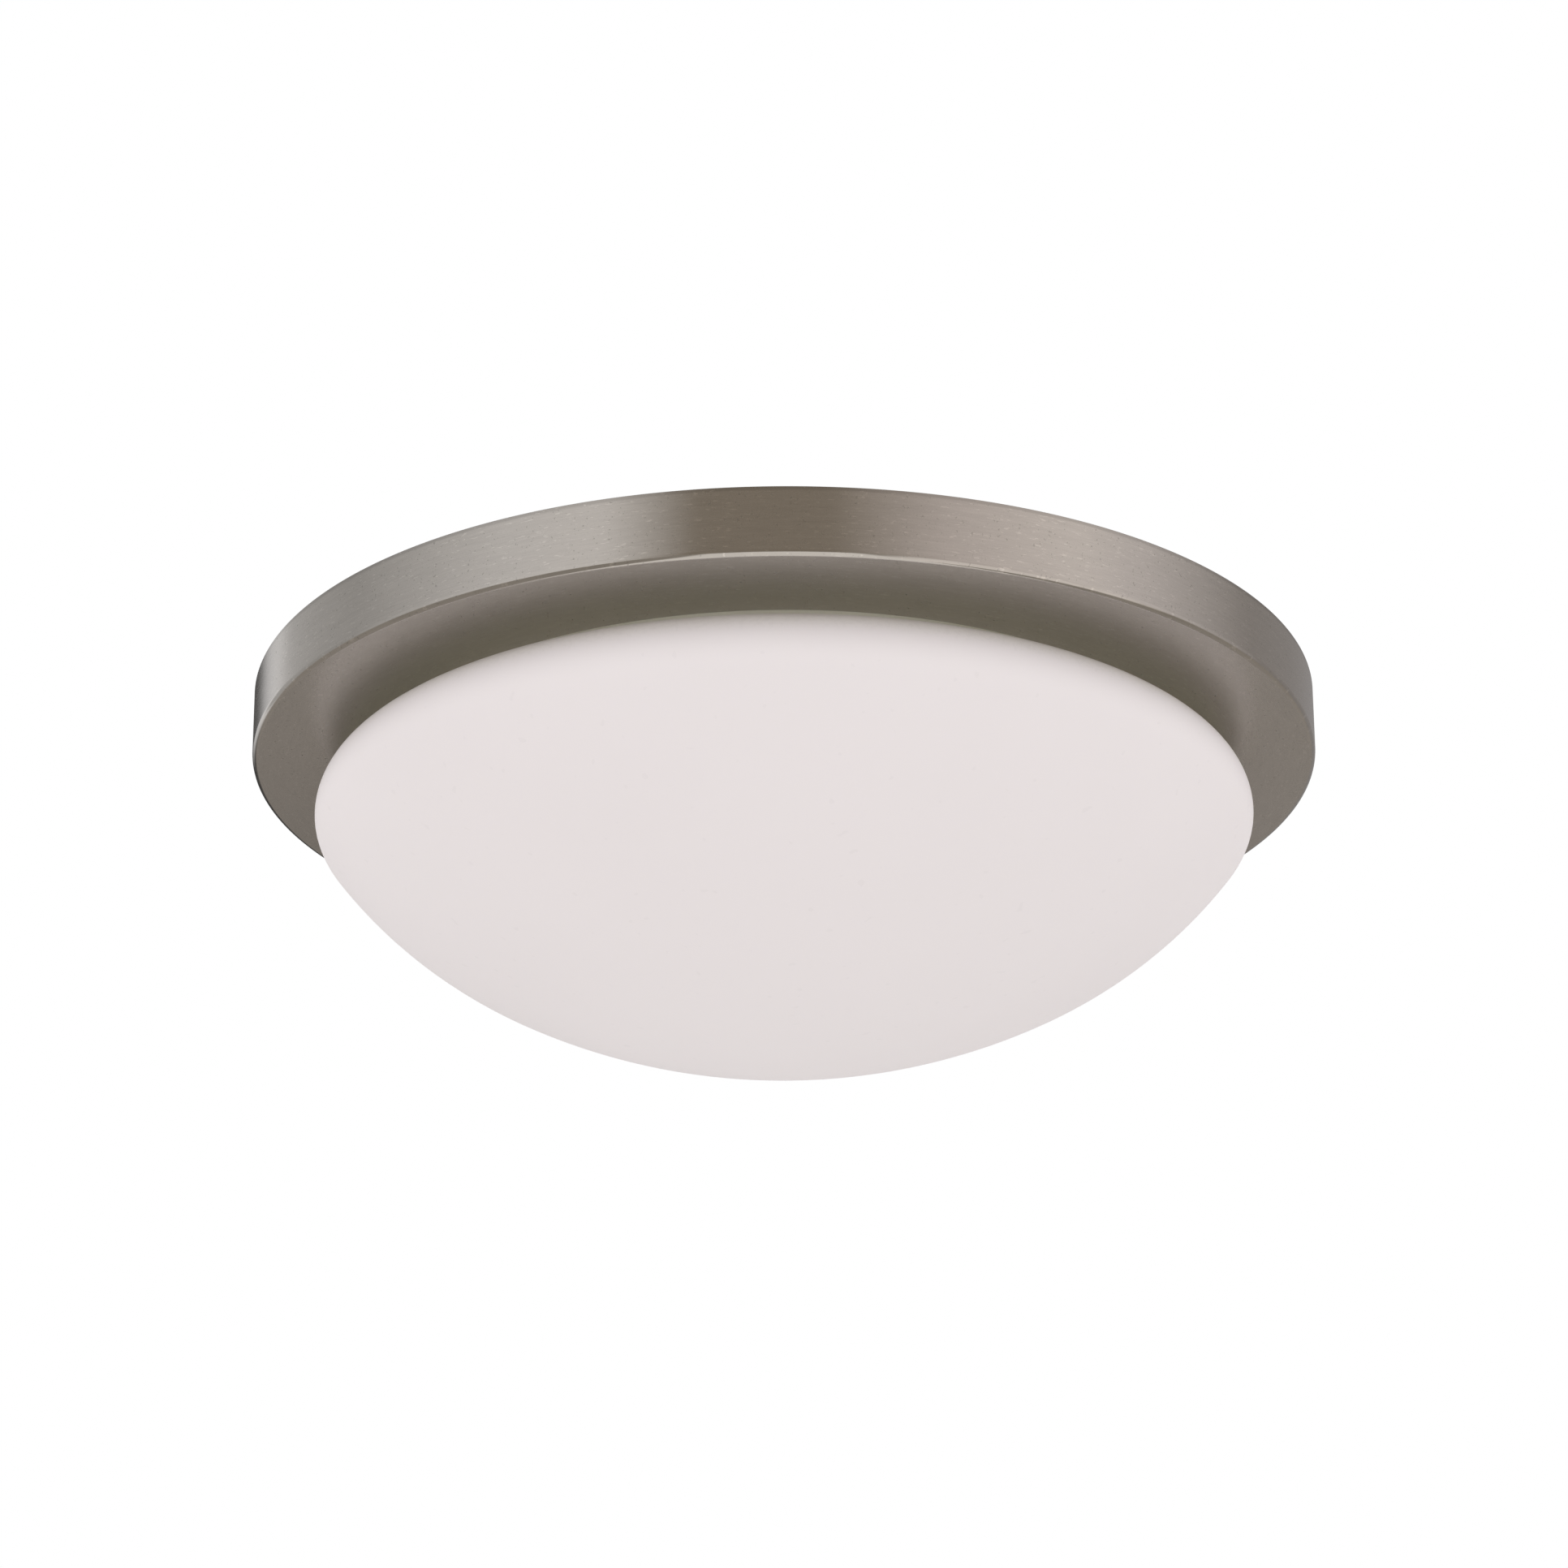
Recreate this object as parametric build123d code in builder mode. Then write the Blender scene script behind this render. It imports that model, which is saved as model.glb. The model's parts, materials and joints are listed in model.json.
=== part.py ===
from build123d import *
import math
import os

os.makedirs("parts", exist_ok=True)

# Flush mount ceiling light: a pressed ceiling pan, an opal glass bowl that snaps up into it on
# spring clips, and two lamps that lie side by side behind the glass.
#
# Millimetres. The origin is the centre of the ring in which the pan meets the ceiling. +Z points
# up into the ceiling, so the whole light hangs below z = 0. X runs along the mounting strap.
# Depths are measured down from the ceiling.

# ---------------------------------------------------------------- driving dimensions

# ceiling pan, one pressed sheet
pan_radius = 168.0             # outside of the short wall
pan_depth = 21.7               # ceiling to the flat lower face
pan_sheet = 0.8
pan_edge_radius = 1.6          # outside of the bend between wall and face
mouth_bend_radius = 1.6
plate_depth = 8.0              # ceiling to the underside of the back plate

# glass bowl
glass_reveal = 20.1            # pan's wall to the glass's widest point, seen from below
shoulder_reach = 25.4          # neck to the widest point
glass_wall = 4.0
neck_gap = 5.0                 # neck to the pan's mouth, all round
shoulder_gap = 5.4             # pan face to the top of the shoulder
shoulder_radius = 12.1         # rounding of the shoulder, above and below the widest point
dome_drop = 72.8               # widest point to the lowest point
shoulder_end_angle = 37.0      # below level, where the shoulder arc meets the side arc
side_end_angle = 60.6          # below level, where the side arc meets the crown arc
neck_fillet = 4.0
bead_out = 2.4                 # how far the rim's bead stands out from the neck
bead_height = 3.0
bead_rounding = 1.0
inside_rounding = 3.0          # inside corner where the neck opens into the bowl

# silicone cushion between the glass rim and the back plate
cushion_thickness = 1.6
cushion_corner_room = 0.8      # keeps the cushion out of the recess's corner bend

# spring clips that hold the bead
clip_sheet = 0.5
clip_width = 12.0
clip_angles = (90.0, 210.0, 330.0)
clip_finger = 2.0              # finger that carries the cushion's edge
clip_neck_clearance = 0.4
clip_loop_width = 3.1
clip_loop_lift = 1.5           # bottom of the loop above the pan's lower face
clip_nose_drop = 3.1           # bead's underside down to the clip's nose
clip_tip_out = 2.3             # nose outwards to the tip
clip_tip_rise = 2.4
clip_rivet_drop = 5.5          # clip top down to its rivet
clip_finger_bend = 0.9
clip_loop_bend = 1.3
clip_nose_bend = 1.0

# lamps: two A19 bulbs on medium screw bases
bulb_radius = 30.15
bulb_length = 107.0            # contact to crown
bulb_wall = 0.8
bulb_neck_radius = 12.9
bulb_neck_start = 26.0         # contact to the start of the flare
bulb_neck_tail = 21.4          # contact to the glass's lower end inside the base
lamp_gap = 7.7                 # between the two bulbs
bulb_top_gap = 7.45            # reflector to the bulbs
lamp_shift = 28.0              # lamp holder's rear face, back from the light's centre

# medium screw thread, drawn as rings
thread_pitch = 25.4 / 7
thread_swing = 0.35            # half of the thread's height
base_thread_radius = 12.68     # half way up the thread of the bulb's base
base_bore_radius = 11.9
base_skirt_radius = 13.3
base_thread_start = 4.0        # from the contact
base_thread_turns = 4
base_skirt_start = 20.5
base_height = 25.6
contact_radius = 4.5
contact_height = 0.6
insulator_plug = 2.0           # how far the insulator reaches into the base

# porcelain lamp holder
holder_radius = 19.0
holder_length = 34.0
holder_floor = 8.0             # thickness behind the socket
holder_rounding = 1.5
socket_radius = 14.8
socket_corner = 0.5
shell_sheet = 0.35
shell_height = 24.0
shell_turns = 6
shell_hole_radius = 7.5
contact_strip_width = 6.0
contact_strip_sheet = 0.4
contact_strip_half = 5.5
contact_strip_bend = 0.8
contact_strip_knee = 2.2       # socket floor to the first bend
contact_strip_lean = 1.0       # how far the bends lie in from the strip's foot
contact_strip_crest = 1.5      # crest of the spring, off the lamp's axis
contact_strip_tip_drop = 1.0   # crest down to the tip
holder_screw_spread = 9.0      # each side of the axis
holder_screw_radius = 1.75
holder_screw_depth = 5.0
holder_screw_head_radius = 3.15
holder_screw_head_height = 2.1
lead_hole_spread = 5.0
lead_hole_rise = 10.0
lead_hole_depth = 6.0
contact_standoff = 4.0         # socket floor to the bulb's contact

# holder brackets
bracket_sheet = 1.2
bracket_width = 28.0
bracket_foot = 17.0
bracket_drop = 14.0            # below the lamp's axis
bracket_bend_radius = 2.0
bracket_window_width = 15.0
bracket_window_height = 5.0
rivet_setback = 10.0           # from the bracket's front face
rivet_spread = 8.0
rivet_radius = 1.6
rivet_head_radius = 3.0
rivet_head_height = 1.2
rivet_tail_radius = 2.6
rivet_tail_height = 0.8

# reflector
reflector_sheet = 0.4
reflector_room = 6.5           # rim of the reflector to the glass's neck
reflector_slope_width = 14.0
reflector_depth = 7.0
reflector_bend_radius = 3.0
screw_access_radius = 11.5

# mounting strap and its screws
strap_half_length = 65.0
strap_width = 18.0
strap_thickness = 2.0
strap_corner = 4.0
strap_centre_hole_radius = 5.2
box_slot_spacing = 79.4        # slot centres: reaches box screws 66 to 93 mm apart
box_slot_length = 18.0
box_slot_radius = 2.4
ground_screw_offset = 16.0
pan_screw_spacing = 114.3
machine_screw_radius = 2.05
thread_clearance = 0.05
pan_screw_head_radius = 4.0
pan_screw_head_height = 2.4
keyhole_slot_radius = 2.3
keyhole_entry_radius = 4.8
keyhole_travel = 9.0
ground_head_radius = 3.6
ground_head_height = 2.2
ground_washer_radius = 5.0
ground_washer_height = 0.8

# insulation pad behind the back plate
pad_inner_radius = 68.0
pad_edge_room = 3.5            # keeps the pad off the recess's corner bend
pad_ceiling_gap = 0.8

# wire bushing in the back plate
bushing_x = -14.0
bushing_y = 22.0
bushing_radius = 8.0
bushing_bore_radius = 6.0
bushing_flange_radius = 10.0
bushing_flange_height = 1.2
bushing_lip_radius = 8.6
bushing_lip_height = 1.2

# terminal block
block_edge_room = 4.85         # block's outer corner to the end of the reflector's flat
block_length_x = 18.0
block_width_y = 24.0
block_height = 12.0
block_edge = 0.8
block_corner = 1.5
pole_spread = 6.0              # each side of the block's centre
pole_depth = 6.0               # block's seat to the middle of the wire way
barrel_width = 6.6
barrel_height = 4.2
barrel_length = 14.0
barrel_wall = 0.5
barrel_corner = 0.9
barrel_clearance = 0.1
clamp_screw_spread = 4.5
clamp_screw_radius = 1.5
clamp_screw_sunk = 1.0
clamp_slot_length = 2.7
clamp_slot_width = 0.5
clamp_slot_depth = 0.75
block_screw_radius = 1.5
block_screw_head_radius = 2.8
block_screw_head_height = 2.0
block_screw_sunk = 0.6

# leads
lead_radius = 1.2
lead_in_barrel = 3.0           # how far a lead reaches into its barrel
bend_share = 0.45              # part of a corner's shorter run that its arc takes up

# clearances
fit = 0.05                     # between a shaft, rivet or plug and its hole
gap = 0.3                      # between pieces that move past each other

# forms shared by all round-headed screws, as parts of the head
rim_share = 1 / 3              # upright rim, of the head's height
recess_reach = 1.1             # cross recess from end to end, of the head's radius
recess_width = 0.28            # of the head's radius
recess_depth = 0.55            # of the head's height

# ---------------------------------------------------------------- derived places

plate_top_depth = plate_depth - pan_sheet
seat_depth = plate_depth + reflector_sheet            # where brackets and block stand
glass_radius = pan_radius - glass_reveal
neck_radius = glass_radius - shoulder_reach
neck_inner_radius = neck_radius - glass_wall
mouth_radius = neck_radius + neck_gap                 # also the wall of the recess
pad_outer_radius = mouth_radius - pad_edge_room
reflector_radius = neck_inner_radius - reflector_room
reflector_flat_radius = reflector_radius - reflector_slope_width
cushion_depth = plate_depth + gap
rim_depth = cushion_depth + cushion_thickness + gap
shoulder_depth = pan_depth + shoulder_gap
widest_depth = shoulder_depth + shoulder_radius
glass_depth = widest_depth + dome_drop

lamp_depth = seat_depth + bulb_top_gap + bulb_radius
lamp_offset = bulb_radius + lamp_gap / 2
contact_place = holder_floor + contact_standoff       # along the lamp, from the holder's rear
block_y = lamp_offset
block_x = block_length_x / 2 - math.sqrt((reflector_flat_radius - block_edge_room) ** 2
                                         - (block_y + block_width_y / 2) ** 2)
bracket_rise = lamp_depth - seat_depth


def side_plane(seat):
    """Plane through the seat's axis: local x runs out from the axis, local y runs along it."""
    return Plane(origin=seat.origin, x_dir=seat.x_dir, z_dir=-seat.y_dir)


def seat_axis(seat):
    """The axis that stands on the seat's origin."""
    return Axis(seat.origin, seat.z_dir)


def radial_plane(degrees):
    """Upright plane through the Z axis: local x runs outwards at this angle, local y up."""
    turn = math.radians(degrees)
    outwards = Vector(math.cos(turn), math.sin(turn), 0)
    across = Vector(math.sin(turn), -math.cos(turn), 0)
    return Plane(origin=(0, 0, 0), x_dir=outwards, z_dir=across)


def facing_down(x, y, depth):
    """Seat for a screw head or rivet head that hangs under a horizontal face."""
    return Plane(origin=(x, y, -depth), x_dir=(1, 0, 0), z_dir=(0, 0, -1))


def add_cap_arc(radius, foot, height):
    """Arc of a domed cap, from its top on the axis to its rim at the foot."""
    ball_radius = (radius ** 2 + height ** 2) / (2 * abs(height))
    half_angle = math.degrees(math.asin(radius / ball_radius))
    way = math.copysign(1, height)
    CenterArc((0, foot + height - way * ball_radius), ball_radius, way * 90, -way * half_angle)


def add_round_screw(seat, shank_radius, shank_length, head_radius, head_height):
    """Domed head standing on the seat, its shank behind the seat, and a cross recess."""
    rim_height = head_height * rim_share
    with BuildSketch(side_plane(seat)) as half:
        with BuildLine():
            Polyline((0, head_height), (0, -shank_length), (shank_radius, -shank_length),
                     (shank_radius, 0), (head_radius, 0), (head_radius, rim_height))
            add_cap_arc(head_radius, rim_height, head_height - rim_height)
        make_face()
    revolve(half.sketch, axis=seat_axis(seat))
    with BuildSketch(seat.offset(head_height)) as recess:
        Rectangle(head_radius * recess_reach, head_radius * recess_width)
        Rectangle(head_radius * recess_width, head_radius * recess_reach)
    extrude(recess.sketch, amount=-head_height * recess_depth, mode=Mode.SUBTRACT)


def add_rivet(seat, grip):
    """Rivet with a domed head on the seat and a rolled tail behind the grip."""
    with BuildSketch(side_plane(seat)) as half:
        with BuildLine():
            Polyline((0, rivet_head_height), (0, -grip - rivet_tail_height),
                     (rivet_tail_radius, -grip - rivet_tail_height),
                     (rivet_tail_radius, -grip), (rivet_radius, -grip), (rivet_radius, 0),
                     (rivet_head_radius, 0))
            add_cap_arc(rivet_head_radius, 0, rivet_head_height)
        make_face()
    revolve(half.sketch, axis=seat_axis(seat))


def lamp_seat(side):
    """Seat of a lamp: the middle of its holder's rear face, with local z along the lamp."""
    return Plane(origin=(-side * lamp_shift, side * lamp_offset, -lamp_depth),
                 x_dir=(0, side, 0), z_dir=(side, 0, 0))


lamps = {"a": lamp_seat(1), "b": lamp_seat(-1)}

rivet_points = [
    (-side * (lamp_shift + rivet_setback), side * (lamp_offset + spread))
    for side in (1, -1)
    for spread in (rivet_spread, -rivet_spread)
]

# ---------------------------------------------------------------- ceiling pan

with BuildPart() as pan:
    with BuildSketch(Plane.XZ):
        with BuildLine():
            skin = FilletPolyline(
                (pan_radius, 0), (pan_radius, -pan_depth), (mouth_radius, -pan_depth),
                (mouth_radius, -plate_depth), (0, -plate_depth),
                radius=[pan_edge_radius, mouth_bend_radius, mouth_bend_radius - pan_sheet])
            offset(skin, amount=pan_sheet, side=Side.RIGHT, closed=True)
        make_face()
    revolve(axis=Axis.Z)
    with BuildSketch(Plane.XY.offset(-plate_depth)):
        for side in (1, -1):
            screw_x = side * pan_screw_spacing / 2
            with Locations((screw_x, 0)):
                Circle(keyhole_slot_radius)
            with Locations((screw_x, -side * keyhole_travel / 2)):
                Rectangle(2 * keyhole_slot_radius, keyhole_travel)
            with Locations((screw_x, -side * keyhole_travel)):
                Circle(keyhole_entry_radius)
        with Locations((bushing_x, bushing_y)):
            Circle(bushing_radius)
        with Locations(*rivet_points):
            Circle(rivet_radius + fit)
        with Locations((block_x, block_y)):
            Circle(block_screw_radius + fit)
    extrude(amount=pan_sheet, mode=Mode.SUBTRACT)
    for angle in clip_angles:
        wall = radial_plane(angle)
        hole = Plane(origin=wall.x_dir * mouth_radius - Vector(0, 0, rim_depth + clip_rivet_drop),
                     x_dir=(0, 0, 1), z_dir=wall.x_dir)
        with BuildSketch(hole):
            Circle(rivet_radius + fit)
        extrude(amount=pan_sheet, both=True, mode=Mode.SUBTRACT)
pan.part.label = "pan"
export_step(pan.part, "parts/pan.step")

# ---------------------------------------------------------------- mounting strap and screws

with BuildPart() as mounting_strap:
    with BuildSketch(Plane.XY.offset(-strap_thickness)):
        RectangleRounded(2 * strap_half_length, strap_width, strap_corner)
        Circle(strap_centre_hole_radius, mode=Mode.SUBTRACT)
        with Locations((-box_slot_spacing / 2, 0), (box_slot_spacing / 2, 0)):
            SlotOverall(box_slot_length, 2 * box_slot_radius, mode=Mode.SUBTRACT)
        with Locations((-pan_screw_spacing / 2, 0), (pan_screw_spacing / 2, 0),
                       (-ground_screw_offset, 0)):
            Circle(machine_screw_radius + thread_clearance, mode=Mode.SUBTRACT)
    extrude(amount=strap_thickness)
mounting_strap.part.label = "mounting_strap"
export_step(mounting_strap.part, "parts/mounting_strap.step")

with BuildPart() as pan_screws:
    for side in (1, -1):
        add_round_screw(facing_down(side * pan_screw_spacing / 2, 0, plate_depth),
                        machine_screw_radius, plate_depth, pan_screw_head_radius,
                        pan_screw_head_height)
pan_screws.part.label = "pan_screws"
export_step(pan_screws.part, "parts/pan_screws.step")

with BuildPart() as ground_screw:
    with BuildSketch(Plane.XY.offset(-strap_thickness - ground_washer_height)):
        with Locations((-ground_screw_offset, 0)):
            Circle(ground_washer_radius)
    extrude(amount=ground_washer_height)
    with BuildSketch(Plane.XY.offset(-strap_thickness - ground_washer_height)):
        with Locations((-ground_screw_offset, 0)):
            RegularPolygon(ground_head_radius, 6)
    extrude(amount=-ground_head_height)
    with BuildSketch(Plane.XY.offset(-strap_thickness)):
        with Locations((-ground_screw_offset, 0)):
            Circle(machine_screw_radius)
    extrude(amount=strap_thickness)
ground_screw.part.label = "ground_screw"
export_step(ground_screw.part, "parts/ground_screw.step")

# ---------------------------------------------------------------- insulation pad

with BuildPart() as insulation_pad:
    with BuildSketch(Plane.XY.offset(-plate_top_depth)):
        Circle(pad_outer_radius)
        Circle(pad_inner_radius, mode=Mode.SUBTRACT)
    extrude(amount=plate_top_depth - pad_ceiling_gap)
insulation_pad.part.label = "insulation_pad"
export_step(insulation_pad.part, "parts/insulation_pad.step")

# ---------------------------------------------------------------- reflector

with BuildPart() as reflector:
    with BuildSketch(Plane.XZ):
        with BuildLine():
            dish = FilletPolyline(
                (0, -plate_depth), (reflector_flat_radius, -plate_depth),
                (reflector_radius, -plate_depth - reflector_depth),
                radius=[reflector_bend_radius])
            offset(dish, amount=reflector_sheet, side=Side.RIGHT, closed=True)
        make_face()
    revolve(axis=Axis.Z)
    with BuildSketch(Plane.XY.offset(-plate_depth)):
        for side in (1, -1):
            with Locations((side * pan_screw_spacing / 2, -side * keyhole_travel / 2)):
                Circle(screw_access_radius)
        with Locations((bushing_x, bushing_y)):
            Circle(bushing_flange_radius + gap)
        with Locations(*rivet_points):
            Circle(rivet_radius + fit)
        with Locations((block_x, block_y)):
            Circle(block_screw_radius + fit)
    extrude(amount=-reflector_sheet, mode=Mode.SUBTRACT)
reflector.part.label = "reflector"
export_step(reflector.part, "parts/reflector.step")

# ---------------------------------------------------------------- wire bushing

bushing_seat = facing_down(bushing_x, bushing_y, plate_depth)
with BuildPart() as wire_bushing:
    with BuildSketch(side_plane(bushing_seat)):
        with BuildLine():
            Polyline((bushing_bore_radius, bushing_flange_height),
                     (bushing_flange_radius, bushing_flange_height),
                     (bushing_flange_radius, 0), (bushing_radius - fit, 0),
                     (bushing_radius - fit, -pan_sheet), (bushing_lip_radius, -pan_sheet),
                     (bushing_radius - fit, -pan_sheet - bushing_lip_height),
                     (bushing_bore_radius, -pan_sheet - bushing_lip_height),
                     close=True)
        make_face()
    revolve(axis=seat_axis(bushing_seat))
wire_bushing.part.label = "wire_bushing"
export_step(wire_bushing.part, "parts/wire_bushing.step")

# ---------------------------------------------------------------- spring clips and rivets

clip_arc = math.degrees(clip_width / mouth_radius)
nose_depth = rim_depth + bead_height + clip_nose_drop
nose_radius = neck_radius + clip_neck_clearance
loop_depth = pan_depth - clip_loop_lift

for number, angle in enumerate(clip_angles, start=1):
    with BuildPart() as glass_clip:
        with BuildSketch(radial_plane(angle - clip_arc / 2)):
            with BuildLine():
                strip = FilletPolyline(
                    (mouth_radius - clip_finger, -rim_depth), (mouth_radius, -rim_depth),
                    (mouth_radius, -loop_depth), (mouth_radius - clip_loop_width, -loop_depth),
                    (nose_radius, -nose_depth),
                    (nose_radius + clip_tip_out, -nose_depth + clip_tip_rise),
                    radius=[clip_finger_bend, clip_loop_bend, clip_nose_bend, clip_nose_bend])
                offset(strip, amount=clip_sheet, side=Side.RIGHT, closed=True)
            make_face()
        revolve(axis=Axis.Z, revolution_arc=clip_arc)
        wall = radial_plane(angle)
        hole = Plane(origin=wall.x_dir * mouth_radius - Vector(0, 0, rim_depth + clip_rivet_drop),
                     x_dir=(0, 0, 1), z_dir=wall.x_dir)
        with BuildSketch(hole):
            Circle(rivet_radius + fit)
        extrude(amount=-2 * clip_sheet, mode=Mode.SUBTRACT)
    glass_clip.part.label = f"glass_clip_{number}"
    export_step(glass_clip.part, f"parts/glass_clip_{number}.step")

# ---------------------------------------------------------------- cushion and glass bowl

with BuildPart() as cushion_ring:
    with BuildSketch(Plane.XY.offset(-cushion_depth - cushion_thickness)):
        Circle(mouth_radius - cushion_corner_room)
        Circle(neck_inner_radius, mode=Mode.SUBTRACT)
    extrude(amount=cushion_thickness)
cushion_ring.part.label = "cushion_ring"
export_step(cushion_ring.part, "parts/cushion_ring.step")


def dome_arc_lengths():
    """How much longer the side arc's radius is than the shoulder's, and the crown's than the
    side's, so that three tangent arcs run from the widest point to the crown on the axis."""
    first, last = math.radians(shoulder_end_angle), math.radians(side_end_angle)
    reach = glass_radius - shoulder_radius
    drop = dome_drop - shoulder_radius
    share = (math.cos(first) * (1 - math.sin(last)) - math.cos(last) * (1 - math.sin(first)))
    side_extra = (reach * (1 - math.sin(last)) - drop * math.cos(last)) / share
    crown_extra = (drop * math.cos(first) - reach * (1 - math.sin(first))) / share
    return side_extra, crown_extra


def add_dome_line(inset):
    """Shoulder, side and crown arcs of the bowl, moved inwards by the inset."""
    side_extra, crown_extra = dome_arc_lengths()
    first, last = math.radians(shoulder_end_angle), math.radians(side_end_angle)
    shoulder_centre = Vector(glass_radius - shoulder_radius, -widest_depth)
    side_centre = shoulder_centre - Vector(math.cos(first), -math.sin(first)) * side_extra
    crown_centre = side_centre - Vector(math.cos(last), -math.sin(last)) * crown_extra
    side_radius = shoulder_radius + side_extra
    crown_radius = side_radius + crown_extra
    CenterArc(shoulder_centre, shoulder_radius - inset, 90, -90 - shoulder_end_angle)
    CenterArc(side_centre, side_radius - inset, -shoulder_end_angle,
              shoulder_end_angle - side_end_angle)
    CenterArc(crown_centre, crown_radius - inset, -side_end_angle, side_end_angle - 90)


with BuildPart() as glass_bowl:
    with BuildSketch(Plane.XZ):
        with BuildLine():
            add_dome_line(0)
            Line((0, -glass_depth), (0, -glass_depth + glass_wall))
            add_dome_line(glass_wall)
            shoulder_start = glass_radius - shoulder_radius
            FilletPolyline(
                (shoulder_start, -shoulder_depth), (neck_radius, -shoulder_depth),
                (neck_radius, -rim_depth - bead_height),
                (neck_radius + bead_out, -rim_depth - bead_height),
                (neck_radius + bead_out, -rim_depth), (neck_inner_radius, -rim_depth),
                (neck_inner_radius, -shoulder_depth - glass_wall),
                (shoulder_start, -shoulder_depth - glass_wall),
                radius=[neck_fillet, bead_rounding, bead_rounding, bead_rounding,
                        bead_rounding, inside_rounding])
        make_face()
    revolve(axis=Axis.Z)
glass_bowl.part.label = "glass_bowl"
export_step(glass_bowl.part, "parts/glass_bowl.step")

# the flat under a rivet's head touches the curved clip at its rim
rivet_head_place = math.sqrt((mouth_radius - clip_sheet) ** 2 - rivet_head_radius ** 2)

with BuildPart() as clip_rivets:
    for angle in clip_angles:
        wall = radial_plane(angle)
        seat = Plane(origin=wall.x_dir * rivet_head_place
                     - Vector(0, 0, rim_depth + clip_rivet_drop),
                     x_dir=(0, 0, 1), z_dir=-wall.x_dir)
        add_rivet(seat, mouth_radius + pan_sheet - rivet_head_place)
clip_rivets.part.label = "clip_rivets"
export_step(clip_rivets.part, "parts/clip_rivets.step")

# ---------------------------------------------------------------- lamps and their holders


def add_thread_line(radius, start, turns):
    """Rounded thread drawn as rings: arcs that swing out and in about a middle radius."""
    for turn in range(turns):
        foot = start + turn * thread_pitch
        middle = foot + thread_pitch / 2
        ThreePointArc((radius, foot), (radius + thread_swing, foot + thread_pitch / 4),
                      (radius, middle))
        ThreePointArc((radius, middle), (radius - thread_swing, middle + thread_pitch / 4),
                      (radius, foot + thread_pitch))


def add_bulb_line(inset):
    """Bulb outline from its neck to its crown: a straight neck, a flare arc that touches the
    neck and the round head, and the head's own arc, all moved inwards by the inset."""
    head_place = contact_place + bulb_length - bulb_radius
    flare_place = contact_place + bulb_neck_start
    rise = head_place - flare_place
    flare_radius = ((rise ** 2 + bulb_neck_radius ** 2 - bulb_radius ** 2)
                    / (2 * (bulb_radius - bulb_neck_radius)))
    flare_x = bulb_neck_radius + flare_radius
    touch_angle = math.degrees(math.atan2(rise, flare_x))
    Line((bulb_neck_radius - inset, contact_place + bulb_neck_tail),
         (bulb_neck_radius - inset, flare_place))
    CenterArc((flare_x, flare_place), flare_radius + inset, 180, -touch_angle)
    CenterArc((0, head_place), bulb_radius - inset, -touch_angle, 90 + touch_angle)


bore_place = holder_length - holder_floor
skirt_slope = base_skirt_radius - base_thread_radius
shell_radius = base_thread_radius + 2 * thread_swing + gap
shell_slack = (shell_height - shell_turns * thread_pitch) / 2

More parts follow.
